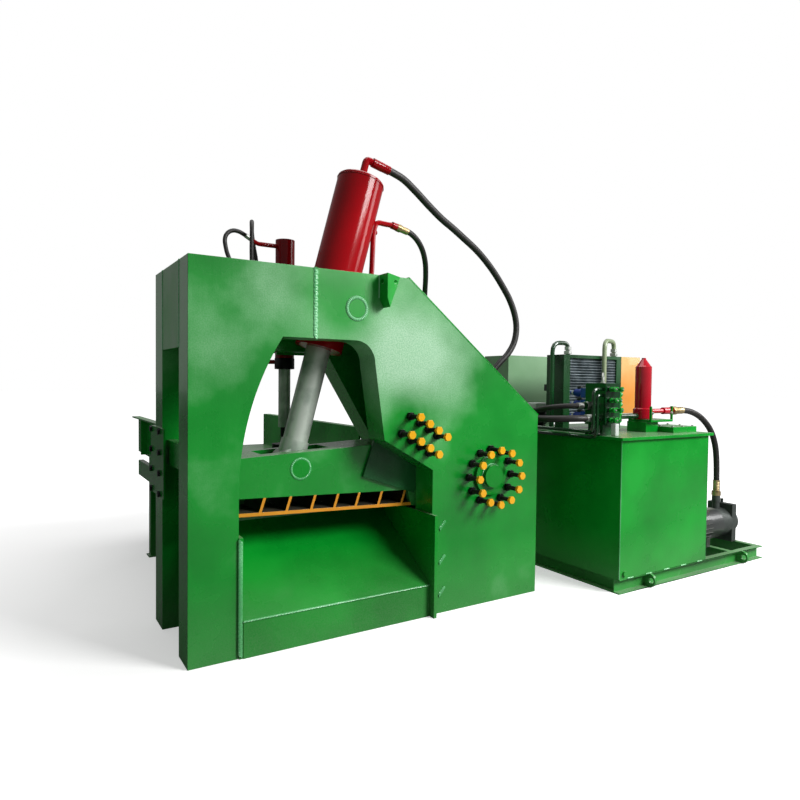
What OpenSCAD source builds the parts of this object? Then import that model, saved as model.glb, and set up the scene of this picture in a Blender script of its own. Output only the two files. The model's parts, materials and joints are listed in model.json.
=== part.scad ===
// Hydraulic alligator shear with its feed trough and hydraulic power unit, in millimetres.
// X runs along the frame towards the power unit, Y from the front plate to the rear, Z up.
// The origin is on the floor under the pivot, halfway between the outer faces of the frame.
// Places are measured from the frame's left end and its front face, and from_corner() moves them.

/* [Frame] */
// Length of the frame plates
frame_len = 2736; // [2700:1:2900]
// Distance over the front and rear frame plates
frame_depth = 915; // [905:1:960]
// Height of the level top
frame_top = 2400; // [2380:1:2460]
// Thickness of each frame plate
plate_t = 220; // [210:1:225]
// Length of the level top, from the left end
top_len = 1487; // [1480:1:1560]
// Height of the right end, where the slanted edge stops
end_top = 1422; // [1400:1:1500]
// Distance of the welded joint in each plate from the left end
seam_in = 790; // [650:1:900]
// Width of the left posts
post_w = 300; // [285:1:310]
// Distance of the window's right edge, above the floor, from the right end
throat_back = 1023; // [1006:1:1028]
// Height of the top of the front window
arch_top = 1953; // [1900:1:2000]
// Radius of the window's curved left edge
arch_r = 1800; // [1600:10:2000]
// Radius of the window's upper right corner
corner_r = 150; // [100:5:180]
// Height of the rear sill, which carries the lower blade
sill_top = 955; // [940:1:970]
// Height of the top of the rear window
rear_window_top = 1897; // [1850:1:1940]
// Thickness of the web that closes the left end above the slot
web_t = 30; // [20:1:40]
// Thickness of the cover on the slanted edges
cover_t = 12; // [8:1:20]
// Thickness of the plates between the front and rear plates
tie_t = 40; // [30:1:50]

/* [Pivot and guide screws] */
// Distance of the pivot from the right end of the frame
pivot_back = 496; // [476:1:516]
// Height of the pivot
pivot_up = 976; // [960:1:990]
// Radius of the pivot pin
pin_r = 85; // [75:1:90]
// Outer radius of the rings on the pivot pin
pin_ring_r = 145; // [135:1:150]
// Thickness of the rings on the pivot pin
pin_ring_t = 25; // [20:1:30]
// How far the pivot pin stands out of each face
pin_out = 60; // [40:1:70]
// Radius of the circle of screws round the pivot
screw_circle_r = 203.5; // [195:0.5:215]
// Number of screws round the pivot
screw_count = 12; // [8:1:12]
// Radius of the adjusting screws
screw_r = 17; // [12:0.5:18]
// How far the screws stand out of the front face
screw_out = 150; // [120:1:180]
// Depth of the pivot screws in the front plate
screw_deep = 60; // [40:1:80]
// Width over the flats of the screw heads and nuts
hex_af = 54; // [46:1:56]
// Height of the screw heads
head_h = 22; // [18:1:26]
// Height of the lock nuts
nut_h = 28; // [20:1:32]
// Number of guide screws in each of the two rows
guide_count = 4; // [2:1:4]

/* [Arm] */
// Distance of the arm's tip from the left end
tip_in = 120; // [118:1:150]
// Distance of the arm's lower corner, at the throat, from the window's right edge
nose_room = 23; // [18:1:33]
// Distance between the front plate of the frame and the arm
front_gap = 25; // [20:1:30]
// Width of the arm over its side plates
arm_w = 370; // [360:1:375]
// Thickness of the arm's side plates
arm_plate_t = 50; // [40:1:55]
// Radius of the arm round the pivot
boss_r = 300; // [290:1:310]
// Height of the arm's top edge at the tip
tip_top = 1168; // [1160:1:1175]
// Height of the arm's lower edge at the tip
tip_low = 812; // [805:1:820]
// Height of the arm's lower edge at the throat
nose_low = 759; // [755:1:765]
// Thickness of the arm's top plate
arm_top_t = 40; // [30:1:45]
// Thickness of the ledge plate over the ribs
ledge_t = 30; // [20:1:35]
// Thickness of the yellow ribs and of the bar under them
rib_t = 24; // [16:1:28]
// Outer radius of the bush on the pivot pin
bush_r = 110; // [105:1:120]
// Radius of the bush's flanges
bush_flange_r = 140; // [130:1:160]
// Radius of the hub between the side plates
hub_r = 170; // [155:1:200]

/* [Blades] */
// Height of both blades
blade_h = 140; // [120:1:145]
// Thickness of the upper blade
upper_blade_t = 49.6; // [40:0.1:49.6]
// Thickness of the lower blade
lower_blade_t = 60; // [50:1:70]
// Depth of the lower blade's seat in the rear sill
blade_seat = 30; // [20:1:40]
// Number of screws in each blade
blade_screws = 7; // [4:1:8]
// Radius of the blade screws
blade_screw_r = 12; // [10:1:14]
// Radius of the blade screws' round heads
blade_head_r = 20; // [18:1:24]

/* [Main cylinder] */
// Distance of the trunnion from the left end
trunnion_in = 1087; // [1080:1:1095]
// Height of the trunnion
trunnion_up = 2163; // [2150:1:2180]
// Distance of the rod pin from the left end, with the arm closed
rod_pin_in = 800; // [790:1:810]
// Height of the rod pin, with the arm closed
rod_pin_up = 1090; // [1085:1:1095]
// Radius of the rod pin
rod_pin_r = 65; // [55:1:70]
// Radius of the trunnion pins
trunnion_r = 60; // [50:1:65]
// Outer radius of the barrel
barrel_r = 172.5; // [165:0.5:180]
// Bore radius of the barrel
barrel_bore_r = 130; // [120:1:140]
// Length of the barrel above the trunnion
barrel_above = 1015; // [900:5:1050]
// Length of the barrel below the trunnion
barrel_below = 230; // [200:5:240]
// Radius of the piston rod
rod_r = 88; // [75:1:92]
// Radius of the rod eye
eye_r = 125; // [115:1:130]
// Width of the rod eye
eye_w = 170; // [150:1:190]
// Radial room between the rod pin and the rod eye
eye_room = 12; // [11:0.5:14]

/* [Chute] */
// Thickness of the chute's plates
chute_t = 25; // [15:1:30]
// Height of the kick plate at the front of the chute
lip_top = 232; // [200:1:260]
// Height at which the chute meets the rear sill
chute_top = 680; // [600:1:700]
// Height of the chute's side plates
chute_side_top = 735; // [700:1:745]

/* [Feed trough] */
// Inner width of the trough
trough_w = 1320; // [1280:1:1330]
// Length of the trough behind the frame
trough_len = 2300; // [2000:10:2400]
// Height of the trough's walls over its floor
trough_wall_h = 345; // [300:5:360]
// Thickness of the trough's plates
trough_t = 16; // [12:1:20]
// Width of the trough's legs
leg_w = 90; // [70:1:110]

/* [Hold-down cylinder] */
// Distance of the hold-down cylinder from the left end
clamp_in = 997; // [990:1:1010]
// Distance of the hold-down cylinder's axis behind the frame's rear face
clamp_back = 135; // [130:1:145]
// Outer radius of the hold-down cylinder
clamp_r = 75; // [70:1:80]
// Height of the hold-down cylinder's lower end
clamp_low = 1774; // [1750:1:1790]
// Height of the hold-down cylinder's top
clamp_top = 2789; // [2760:1:2800]
// Radius of the hold-down rod
clamp_rod_r = 47; // [40:1:52]
// Height of the hold-down rod's lower end
clamp_rod_low = 1312; // [1300:1:1330]
// Radius of the hold-down foot
foot_r = 95; // [80:1:110]

/* [Power unit] */
// Distance between the frame and the skid
unit_gap = 519; // [514:1:564]
// Length of the skid
skid_len = 2110; // [2100:1:2200]
// Width of the skid, front to rear
skid_w = 1810; // [1810:1:1900]
// Height of the skid's channels
skid_h = 120; // [100:1:120]
// Distance of the tank's front face in front of the frame's front face
tank_front = 410; // [400:1:420]
// Length of the oil tank
tank_len = 1170; // [1100:1:1180]
// Depth of the oil tank
tank_w = 1340; // [1300:1:1345]
// Height of the oil tank
tank_h = 1115; // [1100:1:1135]
// Thickness of the tank's walls
tank_t = 8; // [5:1:10]
// Thickness of the tank's lid
lid_t = 25; // [20:1:30]
// How far the lid stands out over the tank all round
lid_over = 30; // [20:1:30]
// Length of the control cabinet
cabinet_len = 640; // [600:1:660]
// Depth of the control cabinet
cabinet_w = 360; // [340:1:370]
// Height of the control cabinet
cabinet_h = 1835; // [1700:5:1900]
// Radius of the drive motor
motor_r = 165; // [150:1:168]
// Radius of the fan
fan_r = 235; // [200:1:240]
// Number of fan blades
fan_blades = 6; // [4:1:8]
// Radius of the line filter's red bowl
bowl_r = 70; // [64:1:72]

/* [Hidden] */

// Round parts, the room between parts, and the overrun of cuts
$fn = 48;
fit = 0.05;
gap = 0.3;
overrun = 5;
// Colours of the finished machine
green = "#22a038";
yellow = "#f2ac22";
red = "#b01020";
black = "#1c1c1e";
steel = "#9aa39b";

// Outline of the frame and of its windows, whose jaws keep their distance from the right end
pivot_in = frame_len - pivot_back;
throat_in = frame_len - throat_back;
nose_in = throat_in - nose_room;
arch_start = 1000;
window_back = 484;
window_in = throat_in - window_back;
jaw_mid_back = 405;
jaw_mid = [throat_in - jaw_mid_back, 1281];
jaw_low_up = 1052;
rear_window_back = [518, 13];
rear_window_in = [throat_in - rear_window_back[0], throat_in - rear_window_back[1]];
rear_jaw_up = 1070;
slant_angle = atan2(frame_top - end_top, frame_len - top_len);
slant_len = norm([frame_top - end_top, frame_len - top_len]);
slot_top = 1875;
slot_tie_up = 1120;
slot_tie_h = 160;
slot_tie_in = 60;
base_back = 47;
base_in = throat_in + base_back;
end_plate_t = 20;
top_tie_len = 640;
rear_face = frame_depth - plate_t;
mid_y = frame_depth / 2;
slant_rise = (frame_top - end_top) / (frame_len - top_len);

// Lifting lugs, front and rear
lug_in = 1255;
lug_w = 165;
lug_out = 110;
lug_t = 25;
lug_low = 2180;
lug_point = 35;
lug_shoulder = 2240;
lug_hole_r = 18;
lug_hole = [38, 48];
pocket_out_share = 0.58;
pocket_w_share = 0.72;
pocket_low = 2250;

// Guide screws and pads
guide_back = [202, 273];
guide_row_upper = [throat_in - guide_back[0], 1443];
guide_row_lower = [throat_in - guide_back[1], 1324];
guide_step = [76, -48];
pad_back = 448;
pad_corner = [throat_in - pad_back, 1005];
pad_size = [460, 540];
pad_tilt = 19;
rear_pad_back = 490;
rear_pad_low = [pivot_in - rear_pad_back, 900];
rear_pad_size = [210, 250];

// Arm
arm_front = plate_t + front_gap;
arm_back = arm_front + arm_w;
shoulder_back = 740;
shoulder = [pivot_in - shoulder_back, 1235];
boss_back = [103, 60];
boss_top_in = pivot_in - boss_back[0];
boss_low_in = pivot_in - boss_back[1];
front_low_tip = 930;
front_low_nose = 877;
nose_step_back = 30;
nose_step_in = nose_in - nose_step_back;
tip_plate_t = 30;
arm_slot_in = 560;
arm_slot_len = 500;
arm_slot_half = 105;
rib_shares = [0.250, 0.366, 0.479, 0.590, 0.697, 0.815, 0.942];
rib_lean = 36;
rib_w = 20;
rod_pin_out = 5;

// Blades and their screws
blade_low_up = sill_top - blade_h;
blade_end = 5;
blade_head_h = 20;
blade_head_in = 2;
upper_screw_len = 26;
lower_screw_len = 100;
hex_key_r = 9;
hex_key_deep = 10;
blade_screw_up = 70;
upper_blade_in = 320;
upper_blade_end_in = rear_window_in[1] - blade_end;
lower_blade_front = rear_face + blade_seat - lower_blade_t;

// Main cylinder, along its own axis from the trunnion
ram_dx = trunnion_in - rod_pin_in;
ram_dz = trunnion_up - rod_pin_up;
ram_tilt = atan2(ram_dx, ram_dz);
ram_len = norm([ram_dx, ram_dz]);
collar_r = 230;
collar_h = 200;
cheek_r = 95;
cheek_room = 4;
pin_bed = 55;
piston_at = -150;
piston_t = 80;
gland_t = 60;
gland_out = 30;
cap_t = 25;
socket_r = 98;
socket_at = 180;
socket_seat = 120;

// Hard pipes of the main cylinder and the hold-down
elbow_r = 27;
elbow_bend = 70;
elbow_rise = 166;
rod_pipe_r = 20;
rod_pipe = [[1205, 1977], [1400, 1985], [1451, 2499], [1462, 2797], [1486, 2882], [1560, 2877]];
rod_pipe_bend = 60;
ferrule_r = 34;
ferrule_len = 90;
small_ferrule_r = 27;
small_ferrule_len = 80;
strut_up = 2800;
strut_r = 14;
side_pipe_r = 17;
side_pipe_up = 2736;
side_pipe_end = 800;
clamp_ferrule_r = 22;
clamp_ferrule_len = 50;

// Chute
chute_front = -15;
kick_t = 25;
slope_t = 18;
side_in = 650;
left_side_out = 10;
right_side_out = 70;

// Trough
trough_in = 280;
flange_w = 60;
flange_t = 14;
stay_w = 60;
stay_gap = 550;
stay_first = 150;
beam_up = 700;
beam_h = 150;
beam_t = 50;
leg_places = [900, 1640];
leg_foot_t = 12;
leg_foot_over = 20;

// Plate that joins the trough to the end of the rear frame plate
fish_t = 12;
fish_inset = 25;
fish_front = 600;
fish_back = 1020;
fish_low = 895;
fish_top = 1357;
fish_columns = [645, 993];
fish_rows = [914, 1054, 1193, 1335];
fish_bolt_r = 12;
fish_head_af = 36;
fish_head_h = 15;
fish_bolt_deep = 60;
fish_post_t = 60;

// Hold-down cylinder
bracket_w = 234;
bracket_deep = 225;
bracket_t = 40;
bracket_places = [1900, 2300];
bracket_back_t = 20;
bracket_back_low = 1880;
bracket_back_h = 480;
clamp_wall = 15;
clamp_gland_h = 75;
clamp_cap_h = 20;
clamp_piston_up = 2060;
clamp_piston_h = 50;
neck_r = 30;
foot_low = 1140;
foot_h = 40;
clamp_port_pipe = [[945, 1092], [845, 1180], [835, 1237]];
clamp_port_up = 1830;
clamp_port_bend = 40;

// Skid
skid_in = frame_len + unit_gap;
skid_front = -tank_front;
channel_w = 60;
channel_web = 8;
channel_flange = 10;
skid_rail_w = 120;
skid_rail_back = 500;
skid_rail_in = skid_w - skid_rail_back;
cross_members = [1225, 1615];
skid_ears = [370, 1745];
ear_t = 25;
ear_r = 58;
ear_hole_r = 24;

// Tank, lid and what stands on the lid
tank_proud = 5;
tank_in = skid_in - tank_proud;
plug_r = 22;
plug_out = 18;
plug_at = [60, 45];
lid_top = skid_h + tank_h + lid_t;
cover_in = 820;
cover_size = [340, 300, 50];
cover_front = -300;

// Valve block
block_low = [tank_in, -240, 1345];
block_size = [180, 210, 345];
block_leg_t = 25;
block_leg_places = [25, 150];
block_foot_t = 10;
valve_rows = [1405, 1505, 1605];
valve_size = [95, 90, 80];
valve_stack = [110, 60, 300];
coil_r = 32;
coil_len = 95;
coil_tip_r = 13;
coil_tip_len = 60;
port_r = 30;
port_len = 60;
hose_ports = [[-150, 1400], [-60, 1500]];
block_plug_r = 20;
block_plug_out = 16;
block_plug_rows = [1390, 1470, 1550, 1640];
block_plug_cols = [45, 110];
lifting_eye_r = 30;
lifting_eye_bar = 6;
lifting_eye_neck = 22;

// Line filter
filter_from_tank = 730;
filter_in = tank_in + filter_from_tank;
filter_y = -50;
pedestal_size = [170, 200];
bracket_reach = [70, 240];
bracket_bar = [filter_in - bracket_reach[0], filter_in + bracket_reach[1]];
bracket_bar_t = 20;
bracket_bar_up = 1350;
bracket_post_t = 14;
bracket_post_w = 20;
bracket_post_top = 1490;
bracket_front = -190;
bowl_low = 1440;
bowl_shoulder = 1850;
bowl_top = 1920;
bowl_knob_r = 18;
filter_head_r = 84;
outlet_reach = [290, 390, 470];
filter_outlet = [filter_in + outlet_reach[0], filter_in + outlet_reach[1]];
filter_outlet_r = 22;
filter_link_r = 24;
filter_link_up = 1400;

// Cooler
cooler_from_tank = 110;
cooler_in = tank_in + cooler_from_tank;
cooler_len = 780;
cooler_front = 320;
cooler_deep = 100;
cooler_low = 1340;
cooler_top = 1945;
cooler_rail = 30;
cooler_post = [80, 70];
core_edge = 10;
fin_pitch = 30;
fin_slot = 8;
fin_deep = 12;
shroud_deep = 110;
shroud_room = 20;
panel_in = cooler_in + cooler_len;
panel_len = 290;
panel_t = 25;
panel_low = 1400;
fan_hub_r = 60;
fan_hub_deep = 60;
fan_blade_t = 5;
fan_pitch = 28;
fan_shaft_r = 14;
fan_motor_r = 80;
fan_motor_len = 170;
fan_bar = [60, 30];

// Steel pipes over the lid
u_pipe_r = 20;
u_pipe_bend = 90;
u_pipe_y = 380;
u_from_tank = [25, 220, 610, 850];
u_pipe_a = [tank_in + u_from_tank[0], tank_in + u_from_tank[1], 2050];
u_pipe_b = [tank_in + u_from_tank[2], tank_in + u_from_tank[3], 2090];
u_pipe_b_front = 290;
supply_r = 14;
supply_off = 40;
supply_y = frame_depth + supply_off;
supply_up = [2095, 2150];
supply_low = [1240, 1290];
supply_turn_in = [1420, 1440];
supply_bend = 60;
supply_from_tank = [50, 95];
supply_far = [tank_in - supply_from_tank[0], tank_in - supply_from_tank[1]];
supply_rise_y = -200;
supply_entry = [1590, 1640];
saddle_places = [770, 1320];
saddle_w = 40;

// Motors and pump
drive_y = -50;
drive_up = 310;
drive_from_tank = 50;
drive_in = tank_in + tank_len + drive_from_tank;
drive_len = 460;
bell_len = 140;
bell_r = 150;
motor_fin_count = 24;
motor_fin = [10, 4];
motor_root_share = 0.8;
terminal = [140, 120, 90];
loop_from_tank = 100;
loop_motor_in = tank_in + loop_from_tank;
loop_motor_y = 800;
loop_motor_len = 250;
loop_motor_r = 75;
pump_in = drive_in + drive_len + bell_len;
pump_len = 160;
pump_r = 140;
pump_plate_t = 70;
pump_plate = [260, 370];
pump_end_t = 60;
pump_end_r = 120;
pump_boss_r = 55;
pump_boss_t = 60;
port_from_pump = 90;
pump_port = [pump_in + port_from_pump, 520];
pump_port_r = 34;
pump_ferrule_len = 100;
knob_r = 14;
knob_h = 45;

// Control cabinet and its door
cabinet_from_tank = 60;
cabinet_in = tank_in + cabinet_from_tank;
cabinet_edge = 40;
cabinet_front = skid_front + skid_w - cabinet_w - cabinet_edge;
cabinet_t = 6;
door_t = 22;
hinge_r = 9;
hinge_pin_r = 5;
hinge_h = 80;
hinge_places = [300, 1450];
hinge_out = 8;
pull_r = 9;
pull_h = 220;
pull_out = 45;

// Routes of the hoses, points chosen by hand, from the end nearest the cylinder. The far part of
// the long ones keeps its distance from the tank, and the part between them is drawn out.
routed_tank_in = 3250;
routed_stretch = [1700, 2825];
function tied(p) = p + [(tank_in - routed_tank_in) * min(1, max(0,
    (p[0] - routed_stretch[0]) / (routed_stretch[1] - routed_stretch[0]))), 0, 0];
main_hose_r = 28;
main_route = [for (p = [[1538, 457.5, 3296], [1630, 457.5, 3274], [1730, 460, 3240], [1850, 475, 3175],
    [1990, 495, 3090], [2130, 518, 3015], [2270, 540, 2955], [2420, 570, 2890],
    [2560, 600, 2828], [2690, 630, 2755], [2820, 660, 2665], [2940, 685, 2560],
    [3040, 700, 2450], [3110, 705, 2320], [3135, 705, 2190], [3110, 705, 2060],
    [3040, 710, 1950], [2950, 725, 1860], [2870, 745, 1760], [2825, 755, 1640],
    [2825, 730, 1520], [2840, 640, 1430], [2850, 500, 1395], [2850, 350, 1385],
    [2850, 210, 1385], [2870, 70, 1390], [2930, -50, 1395], [3030, -130, 1400],
    [3110, -148, 1400], [3187, -150, 1400]]) tied(p)];
return_hose_r = 22;
return_route = [for (p = [[1700, 457.5, 2860], [1790, 462, 2842], [1880, 490, 2800], [1965, 540, 2738],
    [2040, 610, 2660], [2100, 690, 2570], [2150, 770, 2475], [2200, 850, 2370],
    [2250, 925, 2255], [2300, 985, 2130], [2360, 1025, 2005], [2430, 1045, 1885],
    [2510, 1050, 1770], [2600, 1040, 1660], [2695, 1005, 1565], [2785, 935, 1485],
    [2860, 835, 1430], [2915, 700, 1405], [2940, 550, 1405], [2940, 400, 1420],
    [2945, 250, 1450], [2970, 110, 1480], [3040, 0, 1496], [3115, -55, 1500],
    [3187, -60, 1500]]) tied(p)];
clamp_hose_r = 16;
clamp_route_a = [[720, 1050, 2764], [666, 1050, 2793], [586, 1050, 2813], [525, 1046, 2768],
    [517, 1032, 2690], [536, 1002, 2590], [550, 955, 2460], [550, 955, 2360]];
clamp_route_b = [[696, 955, 2360], [695, 956, 2560], [697, 965, 2760], [718, 1025, 2887],
    [760, 1155, 2885], [800, 1224, 2755], [835, 1237, 2560], [835, 1237, 2360]];
pump_hose_r = 28;
pump_hose_start = filter_in + outlet_reach[2];
pump_route = [for (p = [[0, 1440], [0.155, 1440], [0.31, 1430], [0.45, 1405], [0.577, 1368],
    [0.697, 1315], [0.803, 1250], [0.887, 1170], [0.947, 1075], [0.98, 970], [0.993, 865],
    [0.999, 765], [1, 690], [1, 620]])
    [pump_hose_start + p[0] * (pump_port[0] - pump_hose_start), filter_y, p[1]]];

// Helpers
module from_corner() {
    translate([-pivot_in, -mid_y, 0]) children();
}

module block(low, size) {
    translate(low) cube(size);
}

// Plate with an outline drawn in X and Z, between two depths
module upright(near, far) {
    translate([0, far, 0]) rotate([90, 0, 0]) linear_extrude(far - near) children();
}

// Plate with an outline drawn in Y and Z, between two places along X
module across(left, right) {
    translate([left, 0, 0]) rotate([90, 0, 90]) linear_extrude(right - left) children();
}

// Round bar along Y at a place in X and Z
module cross_bar(place, r, near, far) {
    translate([place[0], near, place[1]]) rotate([-90, 0, 0]) cylinder(h = far - near, r = r);
}

// Round bar along X at a place in Y and Z
module long_bar(place, r, left, right) {
    translate([left, place[0], place[1]]) rotate([0, 90, 0]) cylinder(h = right - left, r = r);
}

// The main cylinder's own axis, upwards from the trunnion
module along_ram() {
    translate([trunnion_in, mid_y, trunnion_up]) rotate([0, ram_tilt, 0]) children();
}

function unit(v) = v / norm(v);
function heading(p, i) = unit(p[min(i + 1, len(p) - 1)] - p[max(i - 1, 0)]);
function square_to(v, t) = unit(v - (v * t) * t);
function side_at(p, i) =
    square_to(i == 0 ? (abs(heading(p, 0)[1]) > 0.8 ? [0, 0, 1] : [0, 1, 0]) : side_at(p, i - 1),
        heading(p, i));
function ring_at(p, i, r, n) = let (t = heading(p, i), s = side_at(p, i), u = cross(t, s))
    [for (k = [0:n - 1]) p[i] + r * (cos(k * 360 / n) * s + sin(k * 360 / n) * u)];
function corner_run(a, b, c, bend) = let (
        reach = min(bend, norm(a - b) / 2.1, norm(c - b) / 2.1),
        p = b + reach * unit(a - b),
        q = b + reach * unit(c - b))
    [for (u = [0:0.25:1]) (1 - u) * (1 - u) * p + 2 * u * (1 - u) * b + u * u * q];
function bent(p, bend) = concat([p[0]],
    [for (i = [1:len(p) - 2]) each corner_run(p[i - 1], p[i], p[i + 1], bend)],
    [p[len(p) - 1]]);

// Tube swept along points, with n sides
module swept(p, r, n) {
    last = len(p) - 1;
    polyhedron(
        points = [for (i = [0:last]) each ring_at(p, i, r, n)],
        faces = concat(
            [[for (k = [0:n - 1]) k]],
            [for (i = [0:last - 1], k = [0:n - 1])
                [i * n + k, (i + 1) * n + (k + 1) % n, i * n + (k + 1) % n]],
            [for (i = [0:last - 1], k = [0:n - 1])
                [i * n + k, (i + 1) * n + k, (i + 1) * n + (k + 1) % n]],
            [[for (k = [0:n - 1]) last * n + n - 1 - k]]));
}

// Turns the Z axis to a direction
module facing(v) {
    rotate([0, acos(v[2] / norm(v)), atan2(v[1], v[0])]) children();
}

// Round fitting that ends just short of a hose's end, on the hose's line
module ferrule(end, next, r, length) {
    d = unit(end - next);
    translate(end + gap * d) facing(d) cylinder(h = length, r = r);
}

module hex_prism(af, h) {
    cylinder(h = h, r = af / 2 / cos(30), $fn = 6);
}

// Frame plates and their windows
module left_outline() {
    polygon([[0, 0], [seam_in, 0], [seam_in, frame_top], [0, frame_top]]);
}

module right_outline() {
    polygon([[seam_in, 0], [frame_len, 0], [frame_len, end_top], [top_len, frame_top],
        [seam_in, frame_top]]);
}

module front_window() {
    upright(-overrun, plate_t + overrun) {
        translate([post_w, -overrun]) square([throat_in - post_w, arch_start + 2 * overrun]);
        intersection() {
            translate([post_w + arch_r, arch_start]) circle(r = arch_r);
            translate([post_w, arch_start]) square([window_in - corner_r - post_w, arch_top - arch_start]);
        }
        translate([window_in - corner_r, arch_top - corner_r]) circle(r = corner_r);
        polygon([[window_in - corner_r - overrun, arch_start], [throat_in, arch_start],
            [throat_in, jaw_low_up], jaw_mid, [window_in, arch_top - corner_r],
            [window_in - corner_r - overrun, arch_top - corner_r]]);
    }
}

module rear_window() {
    upright(rear_face - overrun, frame_depth + overrun)
        polygon([[post_w, -overrun], [rear_window_in[1], -overrun], [rear_window_in[1], rear_jaw_up],
            [rear_window_in[0], rear_window_top], [post_w, rear_window_top]]);
}

module pivot_hole(near) {
    cross_bar([pivot_in, pivot_up], pin_r + fit, near - overrun, near + plate_t + overrun);
}

module trunnion_hole(near) {
    cross_bar([trunnion_in, trunnion_up], trunnion_r + fit, near - overrun, near + plate_t + overrun);
}

module front_frame_left() {
    color(green) from_corner() difference() {
        upright(0, plate_t) left_outline();
        front_window();
    }
}

module front_frame_right() {
    color(green) from_corner() difference() {
        upright(0, plate_t) right_outline();
        front_window();
        pivot_hole(0);
        trunnion_hole(0);
        for (place = guide_places) cross_bar(place, screw_r + fit, -overrun, plate_t + overrun);
        for (place = circle_places) cross_bar(place, screw_r + fit, -overrun, screw_deep);
    }
}

module rear_frame_left() {
    color(green) from_corner() difference() {
        upright(rear_face, frame_depth) left_outline();
        rear_window();
        for (up = fish_rows)
            long_bar([fish_bolt_y, up], fish_bolt_r + fit, -overrun, fish_bolt_deep);
    }
}

module rear_frame_right() {
    color(green) from_corner() difference() {
        upright(rear_face, frame_depth) right_outline();
        rear_window();
        pivot_hole(rear_face);
        trunnion_hole(rear_face);
    }
}

module rear_sill() {
    color(green) from_corner() difference() {
        block([post_w, rear_face, 0], [rear_window_in[1] - post_w, plate_t, sill_top]);
        block([post_w - overrun, rear_face - overrun, blade_low_up],
            [rear_window_in[1] - post_w + 2 * overrun, blade_seat + overrun, blade_h + overrun]);
        for (place = lower_screw_places)
            cross_bar(place, blade_screw_r + fit, rear_face, lower_blade_front + lower_screw_len);
    }
}

// Webs and ties welded between the two frame plates
module frame_webs() {
    color(green) from_corner() {
        block([0, plate_t, slot_top], [web_t, rear_face - plate_t, frame_top - slot_top]);
        block([web_t, plate_t, frame_top - tie_t], [top_tie_len, rear_face - plate_t, tie_t]);
        block([web_t, plate_t, slot_tie_up], [slot_tie_in, rear_face - plate_t, slot_tie_h]);
        block([frame_len - end_plate_t, plate_t, 0], [end_plate_t, rear_face - plate_t, end_top]);
        block([base_in, plate_t, 0], [frame_len - end_plate_t - base_in, rear_face - plate_t, tie_t]);
    }
}

module slant_cover() {
    color(green) from_corner()
        translate([top_len, 0, frame_top]) rotate([0, slant_angle, 0])
            translate([0, 0, fit]) cube([slant_len, frame_depth, cover_t]);
}

module chute_plate() {
    color(green) from_corner() across(post_w + chute_t, throat_in - chute_t) {
        polygon([[chute_front, 0], [chute_front + kick_t, 0], [chute_front + kick_t, lip_top],
            [chute_front, lip_top]]);
        polygon([[chute_front, lip_top - slope_t], [rear_face, chute_top - slope_t],
            [rear_face, chute_top], [chute_front, lip_top]]);
    }
}

module chute_side_plates() {
    color(green) from_corner() {
        block([post_w, -left_side_out, 0], [chute_t, side_in + left_side_out, chute_side_top]);
        block([throat_in - chute_t, -right_side_out, 0],
            [chute_t, side_in + right_side_out, chute_side_top]);
    }
}

// Three-cornered lug made of two plates, open at the top
module lug() {
    difference() {
        intersection() {
            translate([0, 0, lug_low]) linear_extrude(frame_top - lug_low)
                polygon([[lug_in, 0], [lug_in, -lug_out], [lug_in + lug_w, 0]]);
            upright(-lug_out - overrun, overrun)
                polygon([[lug_in, lug_shoulder], [lug_in, frame_top], [lug_in + lug_w, frame_top],
                    [lug_in + lug_point, lug_low]]);
        }
        translate([0, 0, pocket_low]) linear_extrude(frame_top - pocket_low + overrun)
            polygon([[lug_in + lug_t, overrun], [lug_in + lug_t, -lug_out * pocket_out_share],
                [lug_in + lug_w * pocket_w_share, overrun]]);
        long_bar([-lug_hole[0], frame_top - lug_hole[1]], lug_hole_r, lug_in - overrun, lug_in + lug_w);
    }
}

module lifting_lugs() {
    color(green) from_corner() {
        lug();
        translate([0, frame_depth, 0]) mirror([0, 1, 0]) lug();
    }
}

module pivot_pin() {
    color(green) from_corner()
        cross_bar([pivot_in, pivot_up], pin_r, -pin_out, frame_depth + pin_out);
}

module pin_ring(near) {
    difference() {
        cross_bar([pivot_in, pivot_up], pin_ring_r, near, near + pin_ring_t);
        cross_bar([pivot_in, pivot_up], pin_r + fit, near - overrun, near + pin_ring_t + overrun);
    }
}

module pivot_rings() {
    color(green) from_corner() {
        pin_ring(-pin_ring_t);
        pin_ring(frame_depth);
    }
}

// Screws that press on the guide pad, and the circle of screws round the pivot
guide_places = [for (row = [guide_row_upper, guide_row_lower], i = [0:guide_count - 1])
    row + i * guide_step];
circle_places = [for (i = [0:screw_count - 1])
    [pivot_in + screw_circle_r * cos(i * 360 / screw_count),
        pivot_up + screw_circle_r * sin(i * 360 / screw_count)]];

module screw(place, inner) {
    cross_bar(place, screw_r, -screw_out + head_h - overrun, inner);
    translate([place[0], -screw_out + head_h, place[1]]) rotate([90, 0, 0]) hex_prism(hex_af, head_h);
}

module adjusting_screws() {
    color(yellow) from_corner() {
        for (place = guide_places) screw(place, plate_t);
        for (place = circle_places) screw(place, screw_deep);
    }
}

module lock_nuts() {
    color(black) from_corner() for (place = concat(guide_places, circle_places)) difference() {
        translate([place[0], 0, place[1]]) rotate([90, 0, 0]) hex_prism(hex_af, nut_h);
        cross_bar(place, screw_r + fit, -nut_h - overrun, overrun);
    }
}

module wear_pads() {
    color("#1d5a30") from_corner() {
        upright(plate_t, arm_front - gap)
            translate(pad_corner) rotate(-pad_tilt) square(pad_size);
        block([rear_pad_low[0], arm_back + gap, rear_pad_low[1]],
            [rear_pad_size[0], rear_face - arm_back - gap, rear_pad_size[1]]);
    }
}

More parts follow.
